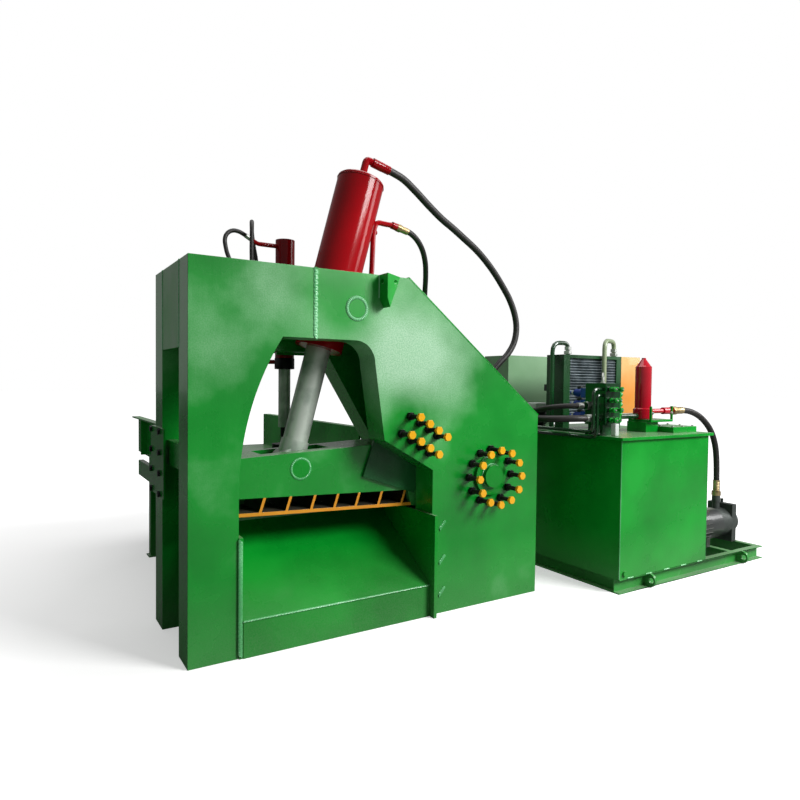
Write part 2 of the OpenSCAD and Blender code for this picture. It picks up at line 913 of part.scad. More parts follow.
// Blades
lower_screw_places = [for (i = [0:blade_screws - 1])
    [post_w + (rear_window_in[1] - post_w) * (i + 0.5) / blade_screws, sill_top - blade_screw_up]];
upper_screw_places = [for (i = [0:blade_screws - 1]) let (x = upper_blade_in
        + (upper_blade_end_in - upper_blade_in) * (i + 0.5) / blade_screws)
    [x, arm_low(x) + blade_screw_up]];

module lower_blade() {
    color(steel) from_corner() difference() {
        block([post_w + blade_end, lower_blade_front, blade_low_up],
            [rear_window_in[1] - post_w - 2 * blade_end, lower_blade_t, blade_h]);
        for (place = lower_screw_places) {
            cross_bar(place, blade_screw_r + fit, lower_blade_front,
                lower_blade_front + lower_blade_t + overrun);
            cross_bar(place, blade_head_r + fit, lower_blade_front - overrun,
                lower_blade_front + blade_head_in + blade_head_h);
        }
    }
}

// Socket-head screw whose head starts at the depth near and whose point lies towards +Y
module socket_screw(place, near, length) {
    difference() {
        union() {
            cross_bar(place, blade_head_r, near, near + blade_head_h);
            cross_bar(place, blade_screw_r, near, near + length);
        }
        translate([place[0], near - overrun, place[1]]) rotate([-90, 0, 0])
            cylinder(h = hex_key_deep + overrun, r = hex_key_r, $fn = 6);
    }
}

fish_bolt_y = rear_face + fish_inset;

module frame_bolts() {
    color(black) from_corner() {
        for (place = lower_screw_places)
            socket_screw(place, lower_blade_front + blade_head_in, lower_screw_len - blade_head_in);
        for (up = fish_rows) {
            long_bar([fish_bolt_y, up], fish_bolt_r, -fish_t - overrun, fish_bolt_deep);
            translate([-fish_t, fish_bolt_y, up]) rotate([0, -90, 0]) hex_prism(fish_head_af, fish_head_h);
            long_bar([fish_columns[1], up], fish_bolt_r, -fish_t - overrun, fish_post_t - overrun);
            translate([-fish_t, fish_columns[1], up]) rotate([0, -90, 0])
                hex_prism(fish_head_af, fish_head_h);
        }
    }
}

module trunnion_pins() {
    color(green) from_corner() {
        cross_bar([trunnion_in, trunnion_up], trunnion_r, -overrun, plate_t + cheek_room + pin_bed);
        cross_bar([trunnion_in, trunnion_up], trunnion_r, rear_face - cheek_room - pin_bed, frame_depth);
    }
}

// Hold-down cylinder on the rear plate
clamp_y = frame_depth + clamp_back;

module clamp_bracket() {
    color(green) from_corner() difference() {
        union() {
            for (up = bracket_places)
                block([clamp_in - bracket_w / 2, frame_depth, up], [bracket_w, bracket_deep, bracket_t]);
            block([clamp_in - bracket_w / 2, frame_depth, bracket_back_low],
                [bracket_w, bracket_back_t, bracket_back_h]);
        }
        translate([clamp_in, clamp_y, bracket_back_low]) cylinder(h = bracket_back_h, r = clamp_r + fit);
    }
}

module clamp_barrel() {
    rise_a = clamp_route_a[1] - clamp_route_a[0];
    side_pipe_rise = clamp_route_a[0][2] - side_pipe_up;
    color(red) from_corner() {
        difference() {
            translate([clamp_in, clamp_y, clamp_low]) cylinder(h = clamp_top - clamp_low, r = clamp_r);
            translate([clamp_in, clamp_y, clamp_low + clamp_gland_h])
                cylinder(h = clamp_top - clamp_low - clamp_gland_h - clamp_cap_h, r = clamp_r - clamp_wall);
            translate([clamp_in, clamp_y, clamp_low - overrun])
                cylinder(h = clamp_gland_h + 2 * overrun, r = clamp_rod_r + fit);
        }
        long_bar([clamp_y, side_pipe_up], side_pipe_r, side_pipe_end, clamp_in - clamp_r + overrun);
        difference() {
            swept(bent(concat([for (p = clamp_port_pipe) [p[0], p[1], clamp_port_up]],
                [clamp_route_b[7] + [0, 0, -clamp_ferrule_len]]), clamp_port_bend), side_pipe_r, 8);
            translate([clamp_in, clamp_y, clamp_low]) cylinder(h = clamp_top - clamp_low,
                r = clamp_r - overrun);
        }
        ferrule(clamp_route_b[7], clamp_route_b[6], clamp_ferrule_r, clamp_ferrule_len);
        swept(bent([[side_pipe_end + overrun, clamp_y, side_pipe_up],
            clamp_route_a[0] - side_pipe_rise / rise_a[2] * rise_a,
            clamp_route_a[0] - gap * unit(rise_a)], clamp_port_bend), side_pipe_r, 8);
    }
}

// Feed trough behind the rear sill

module trough_floor() {
    color(green) from_corner()
        block([trough_in - trough_t, frame_depth, sill_top - trough_t],
            [trough_w + 2 * trough_t, trough_len, trough_t]);
}

module trough_wall(face, outwards) {
    low = sill_top;
    across_t = outwards * trough_t;
    block([min(face, face + across_t), frame_depth, low], [trough_t, trough_len, trough_wall_h]);
    block([min(face + across_t, face + outwards * (trough_t + flange_w)), frame_depth,
        low + trough_wall_h - flange_t], [flange_w, trough_len, flange_t]);
    for (back = [stay_first:stay_gap:trough_len - stay_first])
        block([min(face + across_t, face + outwards * (trough_t + stay_w)), frame_depth + back, low],
            [stay_w, trough_t, trough_wall_h - flange_t]);
}

module trough_walls() {
    color(green) from_corner() {
        trough_wall(trough_in, -1);
        trough_wall(trough_in + trough_w, 1);
    }
}

// Long beams under the floor, cross beams and legs with foot plates
module trough_legs() {
    color(green) from_corner() {
        for (x = [trough_in - trough_t, trough_in + trough_w + trough_t - beam_t]) {
            block([x, frame_depth, beam_up], [beam_t, trough_len, beam_h]);
            for (back = leg_places) {
                block([x, frame_depth + back, 0], [beam_t, leg_w, sill_top - trough_t]);
                block([x - leg_foot_over, frame_depth + back - leg_foot_over, 0],
                    [beam_t + 2 * leg_foot_over, leg_w + 2 * leg_foot_over, leg_foot_t]);
            }
        }
        for (back = leg_places)
            block([trough_in, frame_depth + back, beam_up], [trough_w, leg_w, beam_h]);
    }
}

module fishplate() {
    color(green) from_corner() difference() {
        union() {
            block([-fish_t, fish_front, fish_low], [fish_t, fish_back - fish_front, fish_top - fish_low]);
            block([0, frame_depth, fish_low], [fish_post_t, fish_back - frame_depth, fish_top - fish_low]);
            block([0, frame_depth, fish_low], [trough_in - trough_t - stay_w - trough_t, fish_t,
                fish_top - fish_low]);
        }
        for (up = fish_rows) {
            long_bar([fish_bolt_y, up], fish_bolt_r + fit, -fish_t - overrun, overrun);
            long_bar([fish_columns[1], up], fish_bolt_r + fit, -fish_t - overrun, fish_post_t - overrun);
        }
    }
}

// Skid of channels, open outwards
module channel_section() {
    polygon([[0, 0], [channel_w, 0], [channel_w, skid_h], [0, skid_h], [0, skid_h - channel_flange],
        [channel_w - channel_web, skid_h - channel_flange], [channel_w - channel_web, channel_flange],
        [0, channel_flange]]);
}

module skid_ear(x) {
    difference() {
        across(x, x + ear_t) {
            translate([skid_front, skid_h / 2]) circle(r = ear_r);
            translate([skid_front, 0]) square([channel_w - channel_web, skid_h]);
        }
        long_bar([skid_front - ear_r / 3, skid_h / 2], ear_hole_r, x - overrun, x + ear_t + overrun);
    }
}

module skid() {
    color(green) from_corner() {
        across(skid_in, skid_in + skid_len) translate([skid_front, 0]) channel_section();
        across(skid_in, skid_in + skid_len)
            translate([skid_front + skid_w, 0]) mirror([1, 0]) channel_section();
        upright(skid_front + channel_w - channel_web, skid_front + skid_w - channel_w + channel_web) {
            translate([skid_in, 0]) channel_section();
            translate([skid_in + skid_len, 0]) mirror([1, 0]) channel_section();
            for (x = cross_members) translate([skid_in + x, 0]) square([channel_w, skid_h]);
        }
        block([skid_in + channel_w - channel_web, skid_front + skid_rail_in, 0],
            [skid_len - 2 * (channel_w - channel_web), skid_rail_w, skid_h]);
        for (x = skid_ears) skid_ear(skid_in + x);
    }
}

module tank() {
    color(green) from_corner() {
        difference() {
            block([tank_in, -tank_front, skid_h], [tank_len, tank_w, tank_h]);
            block([tank_in + tank_t, -tank_front + tank_t, skid_h + tank_t],
                [tank_len - 2 * tank_t, tank_w - 2 * tank_t, tank_h]);
        }
        cross_bar([tank_in + plug_at[0], skid_h + plug_at[1]], plug_r, -tank_front - plug_out,
            -tank_front + tank_t);
    }
}

module tank_lid() {
    color(green) from_corner()
        block([tank_in - lid_over, -tank_front - lid_over, skid_h + tank_h],
            [tank_len + 2 * lid_over, tank_w + 2 * lid_over, lid_t]);
}

module access_cover() {
    color(green) from_corner()
        block([tank_in + cover_in, cover_front, lid_top], cover_size);
}

// Valve block on two legs, with its stacked valves, ports, plugs and lifting eye
module manifold() {
    top = block_low[2] + block_size[2];
    right = block_low[0] + block_size[0];
    color(green) from_corner() {
        block(block_low, block_size);
        block([right - overrun, block_low[1] + block_size[1] / 2 - valve_stack[1] / 2,
            block_low[2] + overrun],
            [valve_stack[0] / 2, valve_stack[1], valve_stack[2]]);
        for (y = block_leg_places) {
            block([block_low[0], block_low[1] + y, lid_top],
                [block_size[0], block_leg_t, block_low[2] - lid_top]);
            block([block_low[0] - block_leg_t, block_low[1] + y, lid_top],
                [block_size[0] + 2 * block_leg_t, block_leg_t + block_foot_t, block_foot_t]);
        }
        for (place = hose_ports) long_bar(place, port_r, block_low[0] - port_len, block_low[0] + overrun);
        for (up = block_plug_rows, x = block_plug_cols)
            cross_bar([block_low[0] + x, up], block_plug_r, block_low[1] - block_plug_out,
                block_low[1] + overrun);
        translate([block_low[0] + block_size[0] / 2, block_low[1] + block_size[1] / 2,
            top + lifting_eye_neck]) {
            translate([0, 0, lifting_eye_r]) rotate([90, 0, 30]) rotate_extrude()
                translate([lifting_eye_r, 0]) circle(r = lifting_eye_bar);
            translate([0, 0, -lifting_eye_neck - overrun])
                cylinder(h = lifting_eye_neck + overrun, r = 2 * lifting_eye_bar);
        }
    }
}

// Solenoid valves on the rear face of the block
module solenoids() {
    back = block_low[1] + block_size[1];
    x = block_low[0] + block_size[0] / 2;
    color("#2348b8") from_corner() for (up = valve_rows) {
        block([x - valve_size[0] / 2, back, up - valve_size[2] / 2], valve_size);
        cross_bar([x, up], coil_r, back + valve_size[1] - overrun, back + valve_size[1] + coil_len);
        cross_bar([x, up], coil_tip_r, back + valve_size[1] + coil_len - overrun,
            back + valve_size[1] + coil_len + coil_tip_len);
    }
}

module filter_bracket() {
    color(green) from_corner() {
        block([filter_in - pedestal_size[0] / 2, filter_y - pedestal_size[1] / 2, lid_top],
            [pedestal_size[0], pedestal_size[1], bracket_bar_up - lid_top]);
        block([bracket_bar[0], bracket_front, bracket_bar_up],
            [bracket_bar[1] - bracket_bar[0], filter_y + pedestal_size[1] / 2 - bracket_front,
                bracket_bar_t]);
        for (x = [bracket_bar[0], bracket_bar[1] - bracket_post_t])
            block([x, bracket_front, bracket_bar_up],
                [bracket_post_t, bracket_post_w, bracket_post_top - bracket_bar_up]);
    }
}

// Line filter with its red bowl and the outlet to the pump hose
module line_filter() {
    base = bracket_bar_up + bracket_bar_t;
    outlet = [filter_y, pump_route[0][2]];
    color(red) from_corner() {
        translate([filter_in, filter_y, 0]) rotate_extrude() polygon([[0, base],
            [filter_head_r - 2 * overrun, base],
            [filter_head_r, base + 2 * overrun], [filter_head_r, bowl_low + filter_outlet_r],
            [bowl_r, bowl_low + filter_outlet_r + 2 * overrun], [bowl_r, bowl_shoulder - 2 * overrun],
            [bowl_r - 2 * overrun, bowl_shoulder], [bowl_knob_r, bowl_top - 2 * overrun],
            [bowl_knob_r, bowl_top], [0, bowl_top]]);
        long_bar(outlet, filter_outlet_r, filter_in + bowl_r - 2 * overrun, filter_outlet[0]);
        long_bar(outlet, filter_outlet_r + 2 * overrun, filter_outlet[0] - overrun, filter_outlet[1]);
        long_bar(outlet, filter_outlet_r, filter_outlet[1] - overrun, pump_route[0][0] - gap);
    }
}

// Pipes over the lid, the hold-down's supply pipes with their saddles, and the filter's link
module steel_pipes() {
    a = u_pipe_a;
    b = u_pipe_b;
    color(green) from_corner() {
        swept(bent([[a[0], u_pipe_y, lid_top], [a[0], u_pipe_y, a[2]], [a[1], u_pipe_y, a[2]],
            [a[1], u_pipe_y, cooler_top]], u_pipe_bend), u_pipe_r, 12);
        swept(bent([[b[0], u_pipe_b_front, lid_top], [b[0], u_pipe_b_front, b[2]], [b[1], u_pipe_y, b[2]],
            [b[1], u_pipe_y, cooler_top]], u_pipe_bend), u_pipe_r, 12);
        for (i = [0, 1]) {
            start = i == 0 ? clamp_route_a[7] : clamp_route_b[0];
            turn = supply_turn_in[i];
            fall = (supply_up[i] - supply_low[i]) / slant_rise;
            swept(bent([start - [0, 0, gap], [start[0], supply_y, supply_up[i]],
                [turn, supply_y, supply_up[i]], [turn + fall, supply_y, supply_low[i]],
                [supply_far[i], supply_y, supply_low[i]], [supply_far[i], supply_rise_y, supply_low[i]],
                [supply_far[i], supply_rise_y, supply_entry[i]],
                [block_low[0], supply_rise_y, supply_entry[i]]], supply_bend), supply_r, 8);
        }
        for (x = saddle_places)
            block([x, frame_depth, supply_up[0] - saddle_w],
                [saddle_w, saddle_w + supply_r, supply_up[1] - supply_up[0] + 2 * saddle_w]);
        long_bar([filter_y, filter_link_up], filter_link_r,
            block_low[0] + block_size[0] + valve_stack[0] / 2 - overrun, filter_in - filter_head_r);
    }
}

module cooler_core() {
    height = cooler_top - cooler_low - 2 * cooler_rail;
    size = [cooler_len - cooler_post[0] - cooler_post[1], cooler_deep - 2 * core_edge, height];
    low = [cooler_in + cooler_post[0], cooler_front + core_edge, cooler_low + cooler_rail];
    color("#3a4048") from_corner() difference() {
        block(low, size);
        for (up = [fin_pitch / 2:fin_pitch:height - fin_slot])
            block(low + [-overrun, -overrun, up], [size[0] + 2 * overrun, fin_deep + overrun, fin_slot]);
    }
}

// Frame of the cooler with its tanks, legs, rear shroud and side panel
module cooler_frame() {
    middle = [cooler_in + cooler_len / 2, (cooler_low + cooler_top) / 2];
    color(green) from_corner() {
        for (up = [cooler_low, cooler_top - cooler_rail])
            block([cooler_in, cooler_front, up], [cooler_len, cooler_deep, cooler_rail]);
        block([cooler_in, cooler_front, lid_top], [cooler_post[0], cooler_deep, cooler_top - lid_top]);
        block([cooler_in + cooler_len - cooler_post[1], cooler_front, lid_top],
            [cooler_post[1], cooler_deep, cooler_top - lid_top]);
        difference() {
            block([cooler_in, cooler_front + cooler_deep, cooler_low],
                [cooler_len, shroud_deep, cooler_top - cooler_low]);
            cross_bar(middle, fan_r + shroud_room, cooler_front + cooler_deep - overrun,
                cooler_front + cooler_deep + shroud_deep + overrun);
        }
        block([panel_in, cooler_front + core_edge, panel_low], [panel_len, panel_t, cooler_top - panel_low]);
    }
}

module fan() {
    middle = [cooler_in + cooler_len / 2, (cooler_low + cooler_top) / 2];
    near = cooler_front + cooler_deep + (shroud_deep - fan_hub_deep) / 2;
    color(steel) from_corner() difference() {
        union() {
            cross_bar(middle, fan_hub_r, near, near + fan_hub_deep);
            translate([middle[0], near + fan_hub_deep / 2, middle[1]]) rotate([-90, 0, 0])
                for (i = [0:fan_blades - 1]) rotate(i * 360 / fan_blades)
                    translate([fan_hub_r - overrun, 0, 0]) rotate([fan_pitch, 0, 0])
                        translate([0, -fan_hub_r, -fan_blade_t / 2])
                            cube([fan_r - fan_hub_r - overrun, 2 * fan_hub_r, fan_blade_t]);
        }
        cross_bar(middle, fan_shaft_r + fit, near - overrun, near + fan_hub_deep + overrun);
    }
}

// Motor along X with cooling ribs, feet and a terminal box
module motor(left, y, up, r, length, base) {
    long_bar([y, up], r - motor_fin[0], left, left + length);
    across(left + length / 8, left + length * 7 / 8) translate([y, up])
        polygon([for (i = [0:motor_fin_count - 1], edge = [-2, -1, 1, 2])
            let (turn = i * 360 / motor_fin_count + sign(edge) * asin(motor_fin[1] / 2 / r),
                reach = abs(edge) == 1 ? r : r - motor_root_share * motor_fin[0])
            reach * [cos(turn), sin(turn)]]);
    for (x = [left + length / 8, left + length * 3 / 4])
        block([x, y - r * 3 / 4, base], [length / 8, r * 3 / 2, up - r / 2 - base]);
}

module motors() {
    middle = [cooler_in + cooler_len / 2, (cooler_low + cooler_top) / 2];
    back = cooler_front + cooler_deep + shroud_deep;
    loop_up = lid_top + loop_motor_r + 2 * overrun;
    color(green) from_corner() {
        motor(drive_in, drive_y, drive_up, motor_r, drive_len, skid_h);
        long_bar([drive_y, drive_up], bell_r, drive_in + drive_len - overrun,
            drive_in + drive_len + bell_len);
        block([drive_in + drive_len / 3, drive_y - terminal[1] / 2, drive_up + motor_r - 4 * overrun],
            terminal);
        motor(loop_motor_in, loop_motor_y, loop_up, loop_motor_r, loop_motor_len, lid_top);
        block([loop_motor_in + loop_motor_len / 3, loop_motor_y - terminal[1] / 2,
            loop_up + loop_motor_r - 4 * overrun], terminal);
        cross_bar(middle, fan_shaft_r, cooler_front + cooler_deep + fan_hub_deep / 2, back + overrun);
        cross_bar(middle, fan_motor_r, back + fan_bar[1] - overrun, back + fan_motor_len);
        block([cooler_in, back, middle[1] - fan_bar[0] / 2], [cooler_len, fan_bar[1], fan_bar[0]]);
    }
}

// Piston pump with its valve plate, rear boss, knob and hose fitting
module pump() {
    plate_in = pump_in + pump_len;
    end_in = plate_in + pump_plate_t;
    color("#5d625f") from_corner() {
        long_bar([drive_y, drive_up], pump_r, pump_in, plate_in + overrun);
        block([plate_in, drive_y - pump_plate[0] / 2, drive_up - pump_plate[1] / 2],
            [pump_plate_t, pump_plate[0], pump_plate[1]]);
        long_bar([drive_y, drive_up], pump_end_r, end_in - overrun, end_in + pump_end_t);
        long_bar([drive_y, drive_up], pump_boss_r, end_in + pump_end_t - overrun,
            end_in + pump_end_t + pump_boss_t);
        translate([plate_in + pump_plate_t / 2, drive_y, drive_up + pump_plate[1] / 2 - overrun])
            cylinder(h = knob_h, r = knob_r);
        translate([pump_port[0], drive_y, drive_up]) cylinder(h = pump_port[1] - drive_up, r = pump_port_r);
        translate([pump_port[0], drive_y, pump_port[1] - overrun])
            cylinder(h = pump_ferrule_len + overrun - gap, r = pump_port_r + overrun);
    }
}

hinge_at = [cabinet_in + cabinet_len + hinge_out, cabinet_front + cabinet_w + gap + hinge_r + overrun];

module hinge_knuckle(up) {
    translate([hinge_at[0], hinge_at[1], up]) cylinder(h = hinge_h / 2 - gap, r = hinge_r);
}

module control_cabinet() {
    low = [cabinet_in, cabinet_front, skid_h];
    inner = [cabinet_len - 2 * cabinet_t, cabinet_w, cabinet_h - 2 * cabinet_t];
    color("#8fcf9c") from_corner() {
        difference() {
            block(low, [cabinet_len, cabinet_w, cabinet_h]);
            block(low + [cabinet_t, cabinet_t, cabinet_t], inner);
        }
        for (up = hinge_places) {
            hinge_knuckle(skid_h + up);
            translate([hinge_at[0], hinge_at[1], skid_h + up]) cylinder(h = hinge_h, r = hinge_pin_r);
            block([cabinet_in + cabinet_len - overrun, cabinet_front + cabinet_w - 2 * overrun, skid_h + up],
                [hinge_out + overrun, hinge_at[1] - cabinet_front - cabinet_w + 2 * overrun,
                    hinge_h / 2 - gap]);
        }
    }
}

module cabinet_door() {
    near = cabinet_front + cabinet_w + gap;
    right = cabinet_in + cabinet_len - 2 * overrun;
    color("#8fcf9c") from_corner() {
        block([cabinet_in, near, skid_h + 2 * overrun],
            [right - cabinet_in, door_t, cabinet_h - 4 * overrun]);
        for (up = hinge_places) {
            difference() {
                union() {
                    translate([hinge_at[0], hinge_at[1], skid_h + up + hinge_h / 2])
                        cylinder(h = hinge_h / 2, r = hinge_r);
                    block([right - overrun, hinge_at[1] - overrun / 2, skid_h + up + hinge_h / 2],
                        [hinge_at[0] - right + overrun, overrun, hinge_h / 2]);
                }
                translate([hinge_at[0], hinge_at[1], skid_h + up])
                    cylinder(h = hinge_h + overrun, r = hinge_pin_r + fit);
            }
        }
        translate([cabinet_in + pull_out, near + door_t + pull_out, skid_h + cabinet_h / 2])
            cylinder(h = pull_h, r = pull_r);
        for (up = [pull_out, pull_h - pull_out])
            cross_bar([cabinet_in + pull_out, skid_h + cabinet_h / 2 + up], pull_r, near + door_t - overrun,
                near + door_t + pull_out);
    }
}

// Hoses
module main_hose() {
    color(black) from_corner() swept(main_route, main_hose_r, 10);
}

module return_hose() {
    color(black) from_corner() swept(return_route, return_hose_r, 10);
}

module clamp_hose_a() {
    color(black) from_corner() swept(clamp_route_a, clamp_hose_r, 10);
}

module clamp_hose_b() {
    color(black) from_corner() swept(clamp_route_b, clamp_hose_r, 10);
}

module pump_hose() {
    color(black) from_corner() swept(pump_route, pump_hose_r, 10);
}

// Arm
function arm_low(x) = tip_low + (nose_low - tip_low) * (x - tip_in) / (nose_in - tip_in);
function arm_top(x) = tip_top + (shoulder[1] - tip_top) * (x - tip_in) / (shoulder[0] - tip_in);
function ledge_low(x) =
    front_low_tip + (front_low_nose - front_low_tip) * (x - tip_in) / (nose_step_in - tip_in);
boss_top_up = pivot_up + sqrt(boss_r * boss_r - pow(pivot_in - boss_top_in, 2));
boss_low_up = pivot_up - sqrt(boss_r * boss_r - pow(pivot_in - boss_low_in, 2));

module arm_holes(near, far) {
    cross_bar([pivot_in, pivot_up], bush_r + fit, near - overrun, far + overrun);
    cross_bar([rod_pin_in, rod_pin_up], rod_pin_r + fit, near - overrun, far + overrun);
}

module arm_side_plates() {
    inner = arm_back - arm_plate_t;
    color(green) from_corner() {
        difference() {
            upright(arm_front, arm_front + arm_plate_t) {
                polygon([[tip_in, front_low_tip], [nose_step_in, front_low_nose], [nose_in, nose_low],
                    [boss_low_in, boss_low_up], [pivot_in, pivot_up], [boss_top_in, boss_top_up],
                    shoulder, [tip_in, tip_top]]);
                translate([pivot_in, pivot_up]) circle(r = boss_r);
            }
            arm_holes(arm_front, arm_front + arm_plate_t);
        }
        difference() {
            upright(inner, arm_back) {
                polygon([[tip_in, tip_low], [nose_in, nose_low], [boss_low_in, boss_low_up],
                    [pivot_in, pivot_up], [boss_top_in, boss_top_up], shoulder, [tip_in, tip_top]]);
                translate([pivot_in, pivot_up]) circle(r = boss_r);
            }
            arm_holes(inner, arm_back);
            for (place = upper_screw_places)
                cross_bar(place, blade_screw_r + fit, arm_back - upper_screw_len, arm_back + overrun);
        }
    }
}

// Tip plate, slotted top plate, ledge over the ribs and the hub round the bush
module arm_inner_plates() {
    near = arm_front + arm_plate_t;
    far = arm_back - arm_plate_t;
    color(green) from_corner() {
        difference() {
            upright(near, far) {
                polygon([[tip_in, tip_low], [tip_in + tip_plate_t, tip_low], [tip_in + tip_plate_t, tip_top],
                    [tip_in, tip_top]]);
                polygon([[tip_in, tip_top - arm_top_t], [shoulder[0], shoulder[1] - arm_top_t],
                    [boss_top_in, boss_top_up - arm_top_t], [boss_top_in, boss_top_up], shoulder,
                    [tip_in, tip_top]]);
                polygon([[tip_in, front_low_tip], [nose_step_in, front_low_nose],
                    [nose_step_in, front_low_nose + ledge_t], [tip_in, front_low_tip + ledge_t]]);
            }
            block([arm_slot_in, mid_y - arm_slot_half, tip_top - 2 * arm_top_t],
                [arm_slot_len, far - mid_y + arm_slot_half + overrun, 4 * arm_top_t]);
        }
        difference() {
            cross_bar([pivot_in, pivot_up], hub_r, near, far);
            cross_bar([pivot_in, pivot_up], bush_r + fit, near - overrun, far + overrun);
        }
    }
}

module arm_ribs() {
    start = tip_in + tip_plate_t;
    color(yellow) from_corner() upright(arm_front, arm_back - arm_plate_t) {
        polygon([[start, arm_low(start)], [nose_in, nose_low],
            [nose_in - rib_t * nose_step_back / (front_low_nose - nose_low), nose_low + rib_t],
            [start, arm_low(start) + rib_t]]);
        for (share = rib_shares) let (x = tip_in + share * (nose_in - tip_in), top = x + rib_lean)
            polygon([[x - rib_w / 2, arm_low(x) + overrun], [x + rib_w / 2, arm_low(x) + overrun],
                [top + rib_w / 2, ledge_low(top + rib_w / 2)],
                    [top - rib_w / 2, ledge_low(top - rib_w / 2)]]);
    }
}

module arm_bush() {
    near = plate_t + gap;
    far = rear_face - gap;
    place = [pivot_in, pivot_up];
    color("#b5893a") from_corner() difference() {
        union() {
            cross_bar(place, bush_r, near, far);
            cross_bar(place, bush_flange_r, near, arm_front);
            cross_bar(place, bush_flange_r, arm_back, far);
        }
        cross_bar(place, pin_r + fit, near - overrun, far + overrun);
    }
}

module rod_pin() {
    color(green) from_corner()
        cross_bar([rod_pin_in, rod_pin_up], rod_pin_r, arm_front - rod_pin_out, arm_back);
}

module upper_blade() {
    x0 = upper_blade_in;
    x1 = upper_blade_end_in;
    color(steel) from_corner() difference() {
        upright(arm_back, arm_back + upper_blade_t)
            polygon([[x0, arm_low(x0)], [x1, arm_low(x1)], [x1, arm_low(x1) + blade_h],
                [x0, arm_low(x0) + blade_h]]);
        for (place = upper_screw_places) {
            cross_bar(place, blade_screw_r + fit, arm_back - overrun, arm_back + upper_blade_t + overrun);
            cross_bar(place, blade_head_r + fit, arm_back + upper_blade_t - blade_head_in - blade_head_h,
                arm_back + upper_blade_t + overrun);
        }
    }
}

module upper_blade_screws() {
    head = arm_back + upper_blade_t - blade_head_in;
    length = head - arm_back + upper_screw_len;
    color(black) from_corner() for (place = upper_screw_places)
        translate([0, head, 0]) mirror([0, 1, 0]) socket_screw(place, 0, length);
}

// Main cylinder's rod, eye, barrel and pipes
module main_rod() {
    low = socket_seat - ram_len;
    color(steel) from_corner() along_ram() {
        translate([0, 0, low]) cylinder(h = piston_at - low + overrun, r = rod_r);
        translate([0, 0, piston_at]) cylinder(h = piston_t, r = barrel_bore_r - fit);
    }
}

module rod_eye() {
    color(steel) from_corner() along_ram() difference() {
        union() {
            translate([0, -eye_w / 2, -ram_len]) rotate([-90, 0, 0]) cylinder(h = eye_w, r = eye_r);
            translate([0, 0, -ram_len]) cylinder(h = socket_at, r = socket_r);
        }
        translate([0, -eye_w, -ram_len]) rotate([-90, 0, 0])
            cylinder(h = 2 * eye_w, r = rod_pin_r + eye_room);
        translate([0, 0, socket_seat - ram_len]) cylinder(h = socket_at, r = rod_r + fit);
    }
}

module barrel_tube() {
    color(red) from_corner() along_ram() difference() {
        translate([0, 0, -barrel_below]) cylinder(h = barrel_below + barrel_above, r = barrel_r);
        translate([0, 0, -barrel_below - overrun])
            cylinder(h = barrel_below + barrel_above + 2 * overrun, r = barrel_bore_r);
    }
}

module barrel_ends() {
    color(red) from_corner() along_ram() {
        difference() {
            union() {
                translate([0, 0, -barrel_below]) cylinder(h = gland_t, r = barrel_bore_r - fit);
                translate([0, 0, -barrel_below - gland_out]) cylinder(h = gland_out, r = barrel_r);
            }
            translate([0, 0, -barrel_below - gland_out - overrun])
                cylinder(h = gland_t + gland_out + 2 * overrun, r = rod_r + fit);
        }
        translate([0, 0, barrel_above]) cylinder(h = cap_t - 2 * overrun, r = barrel_r);
        translate([0, 0, barrel_above + cap_t - 2 * overrun])
            cylinder(h = 2 * overrun, r1 = barrel_r, r2 = barrel_r - 2 * overrun, $fn = 64);
    }
}

module trunnion_collar() {
    reach = mid_y - plate_t - cheek_room;
    color(green) from_corner() along_ram() difference() {
        union() {
            translate([0, 0, -collar_h / 2]) cylinder(h = collar_h, r = collar_r);
            translate([0, -reach, 0]) rotate([-90, 0, 0]) cylinder(h = 2 * reach, r = cheek_r);
        }
        translate([0, 0, -collar_h]) cylinder(h = 2 * collar_h, r = barrel_r + fit);
        translate([0, -reach - overrun, 0]) rotate([-90, 0, 0])
            cylinder(h = 2 * (reach + overrun), r = trunnion_r + fit);
    }
}

module barrel_pipes() {
    rise = elbow_rise;
    top = [trunnion_in + (barrel_above + cap_t) * sin(ram_tilt), mid_y,
        trunnion_up + (barrel_above + cap_t) * cos(ram_tilt)];
    along = [sin(ram_tilt), 0, cos(ram_tilt)];
    start = main_route[0] + (gap + ferrule_len) * unit(main_route[0] - main_route[1]);
    flow = return_route[0] + (gap + small_ferrule_len) * unit(return_route[0] - return_route[1]);
    color(red) from_corner() {
        swept(bent([top, top + rise * along, start], elbow_bend), elbow_r, 12);
        ferrule(main_route[0], main_route[1], ferrule_r, ferrule_len);
        difference() {
            swept(bent(concat([for (p = rod_pipe) [p[0], mid_y, p[1]]], [flow]), rod_pipe_bend), rod_pipe_r,
                10);
            along_ram() translate([0, 0, -barrel_below - gland_out])
                cylinder(h = barrel_below + barrel_above, r = barrel_r);
        }
        ferrule(return_route[0], return_route[1], small_ferrule_r, small_ferrule_len);
        difference() {
            translate([trunnion_in + (strut_up - trunnion_up) * tan(ram_tilt), mid_y, strut_up])
                rotate([0, 90, 0]) cylinder(h = barrel_r + 3 * rod_pipe_r, r = strut_r);
            along_ram() translate([0, 0, -barrel_below])
                cylinder(h = barrel_below + barrel_above, r = barrel_r);
        }
    }
}

module clamp_rod() {
    color(steel) from_corner() {
        translate([clamp_in, clamp_y, clamp_rod_low])
            cylinder(h = clamp_piston_up - clamp_rod_low + overrun, r = clamp_rod_r);
        translate([clamp_in, clamp_y, clamp_piston_up])
            cylinder(h = clamp_piston_h, r = clamp_r - clamp_wall - fit);
    }
}

module clamp_foot() {
    color(black) from_corner() {
        translate([clamp_in, clamp_y, foot_low]) cylinder(h = foot_h, r = foot_r);
        translate([clamp_in, clamp_y, foot_low + foot_h - overrun])
            cylinder(h = clamp_rod_low - foot_low - foot_h + overrun, r = neck_r);
    }
}

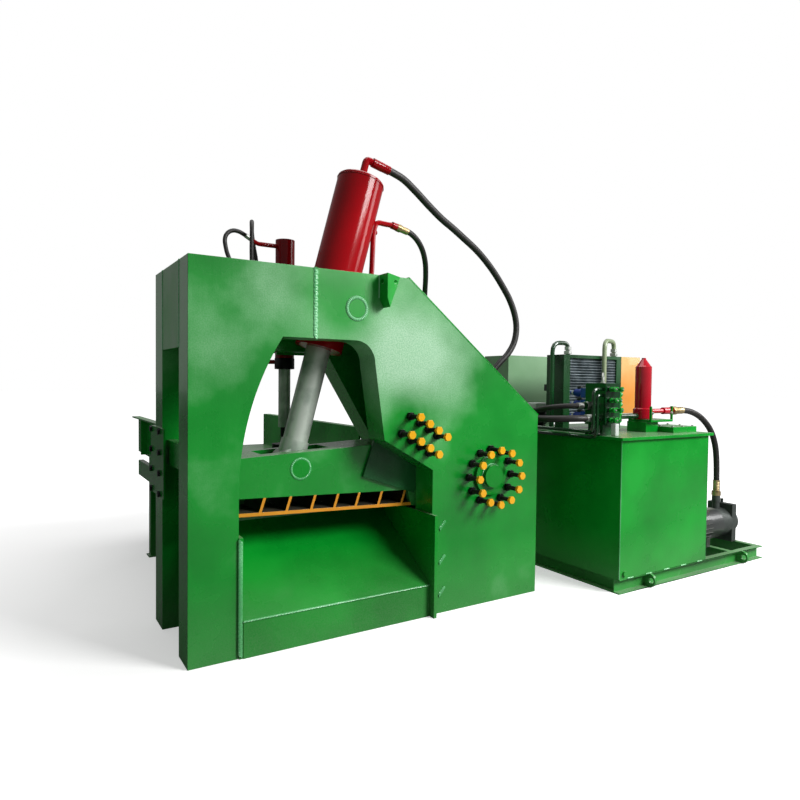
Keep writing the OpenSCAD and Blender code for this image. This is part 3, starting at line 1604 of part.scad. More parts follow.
front_frame_left();
front_frame_right();
rear_frame_left();
rear_sill();
rear_frame_right();
frame_webs();
slant_cover();
chute_plate();
chute_side_plates();
lifting_lugs();
pivot_pin();
pivot_rings();
adjusting_screws();
lock_nuts();
wear_pads();
lower_blade();
frame_bolts();
trunnion_pins();
clamp_bracket();
clamp_barrel();
trough_floor();
trough_walls();
trough_legs();
fishplate();
skid();
tank();
tank_lid();
access_cover();
manifold();
solenoids();
filter_bracket();
line_filter();
steel_pipes();
cooler_core();
cooler_frame();
motors();
pump();
control_cabinet();
main_hose();
return_hose();
clamp_hose_a();
clamp_hose_b();
pump_hose();
fan();
cabinet_door();
arm_side_plates();
arm_inner_plates();
arm_ribs();
arm_bush();
rod_pin();
upper_blade();
upper_blade_screws();
main_rod();
rod_eye();
barrel_tube();
barrel_ends();
trunnion_collar();
barrel_pipes();
clamp_rod();
clamp_foot();
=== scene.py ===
"""Looks of the alligator shear: enamelled plate, hoses, threads, welds and the power unit's fittings."""
import json
import math

import bmesh
import bpy
import numpy as np
from mathutils import Matrix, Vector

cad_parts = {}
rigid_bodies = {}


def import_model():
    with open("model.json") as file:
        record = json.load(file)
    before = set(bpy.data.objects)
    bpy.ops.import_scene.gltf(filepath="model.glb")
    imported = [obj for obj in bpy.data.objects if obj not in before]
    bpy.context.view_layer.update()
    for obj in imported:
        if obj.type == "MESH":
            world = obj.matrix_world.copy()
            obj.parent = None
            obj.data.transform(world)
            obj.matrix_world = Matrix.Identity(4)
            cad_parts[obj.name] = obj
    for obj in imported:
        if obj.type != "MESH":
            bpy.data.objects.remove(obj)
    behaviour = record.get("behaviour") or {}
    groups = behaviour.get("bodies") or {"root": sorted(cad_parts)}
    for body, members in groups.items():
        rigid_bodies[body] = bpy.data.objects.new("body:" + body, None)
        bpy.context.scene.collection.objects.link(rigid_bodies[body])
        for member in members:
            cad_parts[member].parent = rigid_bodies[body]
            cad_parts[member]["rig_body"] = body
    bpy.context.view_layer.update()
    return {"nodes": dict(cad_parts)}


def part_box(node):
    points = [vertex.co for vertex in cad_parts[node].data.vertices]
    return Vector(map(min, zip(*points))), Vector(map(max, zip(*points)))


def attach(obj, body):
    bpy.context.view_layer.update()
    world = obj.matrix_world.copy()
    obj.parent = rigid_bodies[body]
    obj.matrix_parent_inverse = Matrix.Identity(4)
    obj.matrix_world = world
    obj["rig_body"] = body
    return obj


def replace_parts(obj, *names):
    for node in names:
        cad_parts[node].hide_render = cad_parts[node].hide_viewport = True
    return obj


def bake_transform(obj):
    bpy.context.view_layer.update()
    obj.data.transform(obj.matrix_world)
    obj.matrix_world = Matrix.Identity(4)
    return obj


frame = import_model()

# Places are written in metres from the frame's left end, front face and foot, as on a shop drawing
CORNER = np.array([-2.240, -0.4575, 0.0])
DEPTH = 0.915
MID = DEPTH / 2
FRAME_TOP = 2.400
SEAM = 0.790
PIVOT = (2.240, 0.976)
TRUNNION = (1.087, 2.163)
ROD_PIN = (0.800, 1.090)
RAM_TILT = math.atan2(TRUNNION[0] - ROD_PIN[0], TRUNNION[1] - ROD_PIN[1])
RAM = np.array([math.sin(RAM_TILT), 0.0, math.cos(RAM_TILT)])
FRONT, REAR, LEFT, RIGHT, UP = (np.array(v, float) for v in (
    (0, -1, 0), (0, 1, 0), (-1, 0, 0), (1, 0, 0), (0, 0, 1)))


def spot(x, y, z):
    """A place measured from the frame's corner, in the part's own frame."""
    return CORNER + np.array([x, y, z], float)


def low(node):
    """Lowest corner of a CAD node."""
    return np.array(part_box(node)[0])


def high(node):
    """Highest corner of a CAD node."""
    return np.array(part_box(node)[1])


# Camera at the photograph's place, at eye height and turned towards the power unit
CAMERA_AT = spot(-0.8604, -3.6588, 1.6842)
CAMERA_TURN = 0.559
CAMERA_DIP = 0.0295
CAMERA_ROLL = 0.0109
CAMERA_LENS = 28.1


def set_camera():
    """Looks along the turned and dipped direction, with the small roll of a hand-held shot."""
    ahead = np.array([math.sin(CAMERA_TURN) * math.cos(CAMERA_DIP),
                      math.cos(CAMERA_TURN) * math.cos(CAMERA_DIP), -math.sin(CAMERA_DIP)])
    side = np.array([math.cos(CAMERA_TURN), -math.sin(CAMERA_TURN), 0.0])
    top = np.cross(side, ahead)
    right = math.cos(CAMERA_ROLL) * side + math.sin(CAMERA_ROLL) * top
    over = math.cos(CAMERA_ROLL) * top - math.sin(CAMERA_ROLL) * side
    turn = np.eye(4)
    turn[:3, 0], turn[:3, 1], turn[:3, 2], turn[:3, 3] = right, over, -ahead, CAMERA_AT
    camera = bpy.data.objects.new("camera", bpy.data.cameras.new("camera"))
    camera.data.lens = CAMERA_LENS
    camera.data.clip_end = 200
    bpy.context.scene.collection.objects.link(camera)
    camera.matrix_world = Matrix(turn.tolist())
    bpy.context.scene.camera = camera


set_camera()


# Materials
def linear(code):
    """An sRGB hex colour as linear light, with full opacity."""
    part = np.array([int(code[i:i + 2], 16) for i in (0, 2, 4)]) / 255
    light = np.where(part <= 0.04045, part / 12.92, ((part + 0.055) / 1.055) ** 2.4)
    return (*light.tolist(), 1.0)


def join(tree, node, fill):
    """Fills a node's sockets, each with a value or with another node's output."""
    for socket, value in fill:
        if isinstance(value, bpy.types.NodeSocket):
            tree.links.new(value, node.inputs[socket])
        else:
            node.inputs[socket].default_value = value


def add(tree, kind, fill=(), **settings):
    """Adds a node with its settings and with what its sockets are filled with."""
    made = tree.nodes.new(kind)
    for name, value in settings.items():
        setattr(made, name, value)
    join(tree, made, fill)
    return made


def start(name):
    """A new material with its tree, its shader and the object's own coordinates."""
    material = bpy.data.materials.new(name)
    material.use_nodes = True
    tree = material.node_tree
    shader = tree.nodes["Principled BSDF"]
    return material, tree, shader, add(tree, "ShaderNodeTexCoord").outputs["Object"]


# pale is the colour of the painted sheen, a painted reflection
def enamel(name, colour, pale, dark, gloss=0.24, wave=0.0005, dust=0.35, sheen=0.0, spread=0.22,
           coat=0.3, shine=0.5, sheen_patches=()):
    """Thick alkyd enamel on rolled plate, brushed and spray-painted. Runs and waves break its gloss, dust
    dulls it near the floor, and its upward faces are painted paler, both as dust lying on them and as a
    painted reflection of the top light. A pale painted sheen, a painted reflection, shows higher up and
    round the middle of each listed patch. Clouds are about 700 mm across and runs 22 mm wide; the
    spray's specks are drawn at 8 mm, coarser than real ones, so that they show."""
    material, tree, shader, place = start(name)
    cloud = add(tree, "ShaderNodeTexNoise", [("Vector", place), ("Scale", 1.5), ("Detail", 6.0)])
    speck = add(tree, "ShaderNodeTexNoise", [("Vector", place), ("Scale", 120.0), ("Detail", 6.0)])
    drawn = add(tree, "ShaderNodeMapping", [("Vector", place), ("Scale", (45.0, 45.0, 5.0))])
    runs = add(tree, "ShaderNodeTexNoise", [("Vector", drawn.outputs[0]), ("Scale", 1.0), ("Detail", 3.0)])
    height = add(tree, "ShaderNodeSeparateXYZ", [("Vector", place)]).outputs["Z"]
    floor = add(tree, "ShaderNodeMapRange", [("Value", height), ("From Min", 0.5), ("From Max", 0.0),
                ("To Max", dust * 0.7)])
    # Higher up the enamel takes more painted sheen, a painted reflection
    above = add(tree, "ShaderNodeMapRange", [("Value", height), ("From Min", 1.25), ("From Max", 1.9),
                ("To Min", -0.16), ("To Max", -0.07)])
    drift = add(tree, "ShaderNodeMath", [(0, cloud.outputs[0]), (1, above.outputs[0])], operation="ADD")
    # Each listed patch adds painted sheen, a painted reflection, round its middle; a negative strength takes
    # it away
    for middle, reach, gain in sheen_patches:
        off = add(tree, "ShaderNodeVectorMath", [(0, place), (1, spot(*middle))], operation="DISTANCE")
        near = add(tree, "ShaderNodeMapRange", [("Value", off.outputs["Value"]), ("From Min", reach),
                   ("From Max", 0.0), ("To Max", gain)], interpolation_type="SMOOTHSTEP")
        drift = add(tree, "ShaderNodeMath", [(0, drift.outputs[0]), (1, near.outputs[0])], operation="ADD")
    # Mask of the pale painted sheen, a painted reflection, broken up by the specks
    sheen_mask = add(tree, "ShaderNodeMapRange", [("Value", drift.outputs[0]), ("From Min", 0.40),
                ("From Max", 0.92), ("To Max", sheen)])
    grain = add(tree, "ShaderNodeMapRange", [("Value", speck.outputs[0]), ("From Min", 0.38),
                ("From Max", 0.62), ("To Min", 0.62), ("To Max", 1.0)])
    speckled_sheen_mask = add(tree, "ShaderNodeMath", [(0, sheen_mask.outputs[0]), (1, grain.outputs[0])], operation="MULTIPLY")
    lit = add(tree, "ShaderNodeMapRange", [("Value", cloud.outputs[0]), ("From Min", 0.35),
              ("From Max", 0.65)])
    body = add(tree, "ShaderNodeMix", [(0, lit.outputs[0]), (6, linear(dark)), (7, linear(colour))],
               data_type="RGBA")
    with_painted_sheen = add(tree, "ShaderNodeMix", [(0, speckled_sheen_mask.outputs[0]), (6, body.outputs[2]), (7, linear(pale))],
                  data_type="RGBA")
    # Upward-facing faces are mixed towards the dust colour: dust lying on them and a painted reflection of
    # the top light; the dust strength sets both
    facing = add(tree, "ShaderNodeNewGeometry").outputs["Normal"]
    upward = add(tree, "ShaderNodeSeparateXYZ", [("Vector", facing)]).outputs["Z"]
    top_dust_and_sheen = add(tree, "ShaderNodeMapRange", [("Value", upward), ("From Min", 0.92), ("From Max", 1.0),
                  ("To Max", dust * 2.2)])
    floor_dust_and_top_sheen = add(tree, "ShaderNodeMath", [(0, floor.outputs[0]), (1, top_dust_and_sheen.outputs[0])],
                 operation="MAXIMUM")
    speckled_dust_and_sheen = add(tree, "ShaderNodeMath", [(0, floor_dust_and_top_sheen.outputs[0]), (1, speck.outputs[0])],
                operation="MULTIPLY")
    with_dust_and_sheen = add(tree, "ShaderNodeMix", [(0, speckled_dust_and_sheen.outputs[0]), (6, with_painted_sheen.outputs[2]),
                 (7, linear("a9aea0"))], data_type="RGBA")
    rough = add(tree, "ShaderNodeMapRange", [("Value", drift.outputs[0]), ("From Min", 0.3),
                ("From Max", 0.7), ("To Min", gloss), ("To Max", gloss + spread)])
    relief = add(tree, "ShaderNodeMath", [(0, runs.outputs[0]), (1, speck.outputs[0])], operation="ADD")
    bump = add(tree, "ShaderNodeBump", [("Height", relief.outputs[0]), ("Distance", wave),
               ("Strength", 1.0)])
    join(tree, shader, [("Base Color", with_dust_and_sheen.outputs[2]), ("Roughness", rough.outputs[0]),
                        ("Normal", bump.outputs[0]), ("Specular IOR Level", shine), ("Coat Weight", coat),
                        ("Coat Roughness", 0.1)])
    return material


def worked_metal(name, colour, tarnish, rough, grain, metallic=1.0):
    """Turned, ground, milled or rolled metal: grain is the lines' count per metre along X, Y and Z,
    and a thin film of oil and dust tarnishes it in patches of about 140 mm."""
    material, tree, shader, place = start(name)
    drawn = add(tree, "ShaderNodeMapping", [("Vector", place), ("Scale", grain)])
    lines = add(tree, "ShaderNodeTexNoise", [("Vector", drawn.outputs[0]), ("Scale", 1.0), ("Detail", 3.0)])
    film = add(tree, "ShaderNodeTexNoise", [("Vector", place), ("Scale", 7.0), ("Detail", 6.0)])
    patch = add(tree, "ShaderNodeMapRange", [("Value", film.outputs[0]), ("From Min", 0.42),
                ("From Max", 0.62)])
    tone = add(tree, "ShaderNodeMix", [(0, patch.outputs[0]), (6, linear(colour)), (7, linear(tarnish))],
               data_type="RGBA")
    dull = add(tree, "ShaderNodeMapRange", [("Value", film.outputs[0]), ("To Min", rough),
               ("To Max", rough + 0.25)])
    bump = add(tree, "ShaderNodeBump", [("Height", lines.outputs[0]), ("Distance", 0.0002)])
    join(tree, shader, [("Base Color", tone.outputs[2]), ("Roughness", dull.outputs[0]),
                        ("Normal", bump.outputs[0]), ("Metallic", metallic)])
    return material


def cast(name, colour, dark):
    """Sand-cast iron under thin paint: a skin drawn at 6 mm, coarser than real sand, so that it
    shows, and oil that darkens it in patches of about 70 mm."""
    material, tree, shader, place = start(name)
    skin = add(tree, "ShaderNodeTexNoise", [("Vector", place), ("Scale", 180.0), ("Detail", 4.0)])
    oil = add(tree, "ShaderNodeTexNoise", [("Vector", place), ("Scale", 14.0), ("Detail", 5.0)])
    tone = add(tree, "ShaderNodeMix", [(0, oil.outputs[0]), (6, linear(colour)), (7, linear(dark))],
               data_type="RGBA")
    bump = add(tree, "ShaderNodeBump", [("Height", skin.outputs[0]), ("Distance", 0.0008)])
    dull = add(tree, "ShaderNodeMapRange", [("Value", oil.outputs[0]), ("To Min", 0.3), ("To Max", 0.65)])
    join(tree, shader, [("Base Color", tone.outputs[2]), ("Roughness", dull.outputs[0]),
                        ("Normal", bump.outputs[0]), ("Metallic", 0.35)])
    return material


TAPE_WIDTH = 0.045


def cloth_wrapped_rubber():
    """Black nitrile hose cover cured under a wound cloth tape: the tape leaves a spiral step at each
    turn, its width apart, and its weave dulls the rubber. The winding attribute holds the cosine and
    sine of the angle round the hose, and the way along it."""
    material, tree, shader, place = start("cloth_wrapped_rubber")
    winding = add(tree, "ShaderNodeAttribute", attribute_name="winding")
    part = add(tree, "ShaderNodeSeparateXYZ", [("Vector", winding.outputs["Vector"])])
    run = add(tree, "ShaderNodeMath", [(0, part.outputs["Z"]), (1, 2 * math.pi / TAPE_WIDTH)],
              operation="MULTIPLY")
    rise = add(tree, "ShaderNodeMath", [(0, run.outputs[0])], operation="SINE")
    fall = add(tree, "ShaderNodeMath", [(0, run.outputs[0])], operation="COSINE")
    first = add(tree, "ShaderNodeMath", [(0, rise.outputs[0]), (1, part.outputs["X"])],
                operation="MULTIPLY")
    spiral = add(tree, "ShaderNodeMath", [(0, fall.outputs[0]), (1, part.outputs["Y"]),
                 (2, first.outputs[0])], operation="MULTIPLY_ADD")
    dirt = add(tree, "ShaderNodeTexNoise", [("Vector", place), ("Scale", 30.0), ("Detail", 5.0)])
    step = add(tree, "ShaderNodeMapRange", [("Value", spiral.outputs[0]), ("From Min", 0.9),
               ("From Max", 1.0)])
    tone = add(tree, "ShaderNodeMix", [(0, dirt.outputs[0]), (6, linear("0c0c0d")), (7, linear("221e1b"))],
               data_type="RGBA")
    height = add(tree, "ShaderNodeMath", [(0, dirt.outputs[0]), (1, step.outputs[0])], operation="SUBTRACT")
    bump = add(tree, "ShaderNodeBump", [("Height", height.outputs[0]), ("Distance", 0.0006)])
    dull = add(tree, "ShaderNodeMapRange", [("Value", dirt.outputs[0]), ("To Min", 0.38), ("To Max", 0.62)])
    join(tree, shader, [("Base Color", tone.outputs[2]), ("Roughness", dull.outputs[0]),
                        ("Normal", bump.outputs[0])])
    return material


def moulded_plastic(name, colour, shade):
    """Moulded nylon or ABS with the spark-eroded skin of its mould, drawn at 2.5 mm, coarser than the
    real one, so that it shows, and hand marks of about 50 mm."""
    material, tree, shader, place = start(name)
    skin = add(tree, "ShaderNodeTexNoise", [("Vector", place), ("Scale", 400.0), ("Detail", 2.0)])
    hand = add(tree, "ShaderNodeTexNoise", [("Vector", place), ("Scale", 20.0), ("Detail", 4.0)])
    tone = add(tree, "ShaderNodeMix", [(0, hand.outputs[0]), (6, linear(colour)), (7, linear(shade))],
               data_type="RGBA")
    bump = add(tree, "ShaderNodeBump", [("Height", skin.outputs[0]), ("Distance", 0.0002)])
    join(tree, shader, [("Base Color", tone.outputs[2]), ("Normal", bump.outputs[0]), ("Roughness", 0.42)])
    return material


# Middle, reach and strength of each patch of painted sheen, a painted reflection, on the front plate;
# where the strength is negative the plate takes less painted sheen than round about
SHEEN_PATCHES = [((1.400, 0.0, 1.870), 0.52, 0.42), ((1.800, 0.0, 1.800), 0.56, 0.36),
         ((0.480, 0.0, 2.270), 0.36, 0.14), ((0.270, 0.0, 1.760), 0.42, 0.10),
         ((1.060, 0.0, 2.270), 0.50, -0.24), ((2.500, 0.0, 0.400), 0.60, -0.10)]
GREEN = enamel("green_enamel", "069a2a", "5fb673", "047c20", coat=0.12, shine=0.35)
# The frame plates carry painted sheen, a painted reflection, strongest in the listed patches
PLATE_GREEN = enamel("green_enamel_on_frame_plate", "089a2c", "b4dabb", "067f24", sheen=0.85, sheen_patches=SHEEN_PATCHES)
# Weld beads: a paler green than the plates' enamel, a painted highlight on the beads, with painted sheen
WELD_GREEN_PAINTED_HIGHLIGHT = enamel("green_enamel_on_weld_with_painted_highlight", "66c37f", "bfe6c8", "2f9a4b", gloss=0.18, wave=0.0012, sheen=0.6)
# Valve block, steel pipes and cooler frame: a darker green than the enamel elsewhere, painted shade
BLOCK_GREEN_PAINTED_SHADE = enamel("green_enamel_darkened_as_painted_shade", "0c4a1f", "2c7a45", "062c12", gloss=0.2)
OLIVE = enamel("olive_primer_on_pipe", "8d9c78", "b9c4a6", "6f8060", gloss=0.3, wave=0.0003, sheen=0.5)
PAD_GREEN = enamel("green_enamel_on_wear_pad", "12682f", "2a8046", "0b3f1c", gloss=0.38, wave=0.0012,
                   dust=0.2, coat=0.1, shine=0.35)
PALE_GREEN = enamel("pale_green_cabinet_enamel", "7fa680", "a9c4a4", "6f966f", gloss=0.32, wave=0.0003)
YELLOW = enamel("yellow_enamel", "e89a1c", "f8c24a", "cf8410", gloss=0.3, wave=0.0003, dust=0.1)
SCREW_YELLOW = enamel("yellow_screw_enamel", "f6b60e", "fbd05e", "eaa60a", gloss=0.25, wave=0.0003, dust=0.1)
ORANGE = enamel("orange_cover_enamel", "dca65e", "f3b552", "dd861a", gloss=0.35, wave=0.0003)
# Near-black brown for the faces inside the arm's rib pockets: painted shade
POCKET_PAINTED_SHADE = enamel("painted_shade_in_rib_pockets", "2a1c08", "4a3413", "120c04", gloss=0.3, wave=0.0008, dust=0.1)
RED = enamel("red_enamel", "a3040f", "b8202c", "7f020a", gloss=0.1, wave=0.0002, dust=0.0,
             spread=0.05, coat=0.0, shine=0.22)
# The filter bowl's red, brighter than the barrel's red: a painted highlight; the red buttons take it too
BOWL_RED_PAINTED_HIGHLIGHT = enamel("red_filter_enamel_brightened_as_painted_highlight", "c41428", "dc5663", "a80c20", gloss=0.08, wave=0.0002, dust=0.0,
                  spread=0.05, coat=0.3)
CHARCOAL = enamel("charcoal_motor_enamel", "1d2224", "343b3e", "101314", gloss=0.35, wave=0.0004)
ROD = worked_metal("ground_rod_under_dust", "c6cfc4", "9eab9f", 0.3, (60.0, 60.0, 8.0), metallic=0.35)
BLADE = worked_metal("milled_blade_steel", "a9adab", "7c807c", 0.28, (300.0, 30.0, 30.0))
BLACK_STEEL = worked_metal("black_oxide_steel", "26282a", "141516", 0.34, (90.0, 90.0, 90.0), metallic=0.8)
THREAD = worked_metal("greased_thread_steel", "33372f", "161a15", 0.3, (120.0, 60.0, 120.0), metallic=0.7)
BRASS = worked_metal("turned_brass", "cdb78a", "94805a", 0.28, (90.0, 90.0, 90.0))
BRONZE = worked_metal("bearing_bronze", "b98a45", "7f5c2c", 0.3, (90.0, 90.0, 90.0))
ZINC = worked_metal("zinc_plated_steel", "c3c6c2", "9fa39c", 0.3, (120.0, 120.0, 120.0))
ALUMINIUM = worked_metal("rolled_aluminium_fin", "8b979c", "616c70", 0.45, (10.0, 300.0, 300.0),
                         metallic=0.6)
PUMP_IRON = cast("painted_cast_iron", "555c58", "1d2220")
HOSE_RUBBER = cloth_wrapped_rubber()
BLUE = moulded_plastic("blue_coil_nylon", "1f49b4", "15337f")
BLACK_PLASTIC = moulded_plastic("black_nylon", "1a1b1d", "101012")
GREY_PLASTIC = moulded_plastic("pale_grey_abs", "d3d7d4", "b4bab6")


# Surfaces
def lofted(rings, closed=False):
    """Closed rings of points joined one to the next, and capped, or joined end to end if closed."""
    count, around = rings.shape[:2]
    index = np.arange(count * around).reshape(count, around)
    beside, beyond = np.roll(index, -1, axis=1), np.roll(index, -1, axis=0)
    rows = slice(0, count if closed else count - 1)
    quads = np.stack([index[rows], beside[rows], np.roll(beyond, -1, axis=1)[rows], beyond[rows]], axis=-1)
    faces = quads.reshape(-1, 4).tolist()
    if not closed:
        faces += [index[0, ::-1].tolist(), index[-1].tolist()]
    return rings.reshape(-1, 3), faces


def make(name, shapes, finish, body="frame", smooth=40, winding=None):
    """One piece out of lofted shapes, faces outwards, smooth but for its sharp edges, riding on a body."""
    points, faces, count = [], [], 0
    for shape_points, shape_faces in shapes:
        faces += [[i + count for i in face] for face in shape_faces]
        points.append(shape_points)
        count += len(shape_points)
    mesh = bpy.data.meshes.new(name)
    mesh.from_pydata(np.concatenate(points).tolist(), [], faces)
    if winding is not None:
        mesh.attributes.new("winding", "FLOAT_VECTOR", "POINT").data.foreach_set("vector", winding.ravel())
    form = bmesh.new()
    form.from_mesh(mesh)
    bmesh.ops.recalc_face_normals(form, faces=form.faces)
    form.to_mesh(mesh)
    form.free()
    mesh.shade_smooth()
    mesh.set_sharp_from_angle(angle=math.radians(smooth))
    mesh.materials.append(finish)
    piece = bpy.data.objects.new(name, mesh)
    bpy.context.scene.collection.objects.link(piece)
    if body:
        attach(piece, body)
    return piece


def unit(v):
    """Vectors of length one."""
    return v / np.linalg.norm(v, axis=-1, keepdims=True)


def across(axis):
    """Two unit vectors square to an axis and to each other."""
    axis = unit(np.asarray(axis, float))
    first = unit(np.cross(axis, UP if abs(axis[2]) < 0.9 else REAR))
    return first, np.cross(axis, first)


def spokes(axis, count):
    """Equal angles round an axis, and the unit vectors that point outwards at them."""
    first, second = across(axis)
    angle = np.linspace(0, 2 * np.pi, count, endpoint=False)
    return angle, np.cos(angle)[:, None] * first + np.sin(angle)[:, None] * second


def turned(base, axis, profile, sides=32, flats=None):
    """A turned piece: circles of the profile's radii at its distances along the axis. With flats, the
    circle is cut by a hexagon of that width, so a radius past the flats gives a chamfered hexagon."""
    axis = unit(np.asarray(axis, float))
    angle, outwards = spokes(axis, sides)
    run, radius = np.array(profile, float).T
    reach = np.repeat(radius[:, None], sides, axis=1)
    if flats:
        reach = np.minimum(reach, flats / 2 / np.cos(np.mod(angle, np.pi / 3) - np.pi / 6))
    return lofted(np.asarray(base) + run[:, None, None] * axis + reach[..., None] * outwards)


def bolt(base, axis, flats, height, washer=0.0):
    """A chamfered hexagon head with a low dome, on a washer if one is given."""
    rim = flats / 2 / math.cos(math.pi / 6)
    head = turned(base, axis, [(washer, rim), (washer + height * 0.82, rim), (washer + height, rim * 0.84)],
                  24, flats)
    return [head, turned(base, axis, [(0, rim * 1.25), (washer, rim * 1.25)])] if washer else [head]


def thread(base, axis, radius, depth, pitch, length):
    """A screw thread: the radius falls by depth and rises again once in each pitch, and the whole
    turns with the angle round the axis."""
    angle, outwards = spokes(axis, 20)
    run = np.arange(0, length, pitch / 4)
    phase = np.mod(run[:, None] / pitch - angle / (2 * np.pi), 1)
    reach = radius - depth * np.abs(2 * phase - 1)
    return lofted(np.asarray(base) + run[:, None, None] * axis + reach[..., None] * outwards)


def slab(centre, size, edge):
    """A box with rounded edges: rounded rectangles, drawn in along a quarter circle at top and bottom."""
    half = np.asarray(size, float) / 2
    corner = np.linspace(0, np.pi / 2, 5)
    quarter = np.concatenate([corner + i * np.pi / 2 for i in range(4)])
    signs = np.repeat([[1, 1], [-1, 1], [-1, -1], [1, -1]], 5, axis=0)
    rounding = np.stack([np.cos(quarter), np.sin(quarter)], axis=1)
    roll = np.linspace(0, np.pi / 2, 4)
    inset = np.concatenate([edge * np.sin(roll), edge * np.cos(roll)])
    level = np.concatenate([-half[2] + edge * (1 - np.cos(roll)), half[2] - edge * (1 - np.sin(roll))])
    flat = signs * (half[:2] - edge) + rounding * inset[:, None, None]
    rings = np.concatenate([flat, np.repeat(level[:, None, None], 20, axis=1)], axis=2)
    return lofted(np.asarray(centre) + rings)


def curve_through(points, step):
    """A smooth line through given points, by cubic pieces whose slope at a point is that
    between its neighbours, then cut to equal steps."""
    p = np.asarray(points, float)
    p = np.concatenate([[2 * p[0] - p[1]], p, [2 * p[-1] - p[-2]]])
    t = np.linspace(0, 1, 24, endpoint=False)[:, None]
    a, b, c, d = (p[i:len(p) - 3 + i, None] for i in range(4))
    line = 0.5 * (2 * b + (c - a) * t + (2 * a - 5 * b + 4 * c - d) * t ** 2
                  + (3 * b - a - 3 * c + d) * t ** 3)
    line = np.concatenate([line.reshape(-1, 3), p[-2:-1]])
    gone = np.concatenate([[0], np.cumsum(np.linalg.norm(np.diff(line, axis=0), axis=1))])
    at = np.linspace(0, gone[-1], max(8, int(gone[-1] / step)))
    return np.stack([np.interp(at, gone, line[:, i]) for i in range(3)], axis=1)


def frames_along(path, closed=False):
    """Two directions square to a path at each of its points, carried along so that they don't twist."""
    ahead = unit(np.roll(path, -1, 0) - np.roll(path, 1, 0)) if closed else unit(np.gradient(path, axis=0))
    first = [across(ahead[0])[0]]
    for direction in ahead[1:]:
        first.append(unit(first[-1] - (first[-1] @ direction) * direction))
    first = np.array(first)
    return first, np.cross(ahead, first)


def tube(path, radius, sides=24, closed=False):
    """Circles of a radius, or of one radius for each point, square to a path."""
    first, second = frames_along(path, closed)
    angle = np.linspace(0, 2 * np.pi, sides, endpoint=False)[None, :, None]
    reach = np.broadcast_to(radius, len(path))[:, None, None]
    return path[:, None] + reach * (np.cos(angle) * first[:, None] + np.sin(angle) * second[:, None])


def bead(start_at, end_at, out, width=0.022, weave=0.004, pitch=0.020):
    """A weld bead on a joint: a tube whose line swings from side to side of the joint and whose
    radius swells with each ripple, flattened towards the plate. The ripples are drawn coarser than
    real ones, so that they show."""
    start_at, end_at, out = (np.asarray(v, float) for v in (start_at, end_at, out))
    length = np.linalg.norm(end_at - start_at)
    run = np.linspace(0, length, max(6, int(length / 0.0045)))
    ahead = (end_at - start_at) / length
    side = np.cross(ahead, out)
    swing = weave * np.sin(2 * np.pi * run / pitch)
    path = start_at + run[:, None] * ahead + swing[:, None] * side
    swell = width / 2 * (0.85 + 0.15 * np.cos(4 * np.pi * run / pitch))
    return lofted(flattened(tube(path, swell, 10), start_at, out, 0.45))


def flattened(rings, origin, out, share):
    """Brings points nearer to the plane through origin, to a share of their height along out."""
    height = (rings - origin) @ out
    return rings - (1 - share) * height[..., None] * out


def ring_bead(centre, axis, radius, width):
    """A weld bead round a pin or pipe: the same ripple, one in every 12 mm, bent to a circle."""
    centre, axis = np.asarray(centre, float), unit(np.asarray(axis, float))
    ripples = int(2 * np.pi * radius / 0.012)
    angle, outwards = spokes(axis, ripples * 5)
    path = centre + radius * outwards
    swell = width / 2 * (0.85 + 0.15 * np.cos(ripples * angle))
    return lofted(flattened(tube(path, swell, 8, closed=True), centre, axis, 0.6), closed=True)


# Hoses, on the routes that the solids follow
WIDE_HOSE = 0.028
MIDDLE_HOSE = 0.022
NARROW_HOSE = 0.016
MAIN_ROUTE = [(1.538, 0.4575, 3.296), (1.630, 0.4575, 3.274), (1.730, 0.460, 3.240), (1.850, 0.475, 3.175),
              (1.990, 0.495, 3.090), (2.130, 0.518, 3.015), (2.270, 0.540, 2.955), (2.420, 0.570, 2.890),
              (2.560, 0.600, 2.828), (2.690, 0.630, 2.755), (2.820, 0.660, 2.665), (2.940, 0.685, 2.560),
              (3.040, 0.700, 2.450), (3.110, 0.705, 2.320), (3.135, 0.705, 2.190), (3.110, 0.705, 2.060),
              (3.040, 0.710, 1.950), (2.950, 0.725, 1.860), (2.870, 0.745, 1.760), (2.825, 0.755, 1.640),
              (2.825, 0.730, 1.520), (2.840, 0.640, 1.430), (2.850, 0.500, 1.395), (2.850, 0.350, 1.385),
              (2.850, 0.210, 1.385), (2.870, 0.070, 1.390), (2.930, -0.050, 1.395), (3.030, -0.130, 1.400),
              (3.110, -0.148, 1.400), (3.187, -0.150, 1.400)]
RETURN_ROUTE = [(1.700, 0.4575, 2.860), (1.790, 0.462, 2.842), (1.880, 0.490, 2.800), (1.965, 0.540, 2.738),
                (2.040, 0.610, 2.660), (2.100, 0.690, 2.570), (2.150, 0.770, 2.475), (2.200, 0.850, 2.370),
                (2.250, 0.925, 2.255), (2.300, 0.985, 2.130), (2.360, 1.025, 2.005), (2.430, 1.045, 1.885),
                (2.510, 1.050, 1.770), (2.600, 1.040, 1.660), (2.695, 1.005, 1.565), (2.785, 0.935, 1.485),
                (2.860, 0.835, 1.430), (2.915, 0.700, 1.405), (2.940, 0.550, 1.405), (2.940, 0.400, 1.420),
                (2.945, 0.250, 1.450), (2.970, 0.110, 1.480), (3.040, 0.000, 1.496), (3.115, -0.055, 1.500),
                (3.187, -0.060, 1.500)]
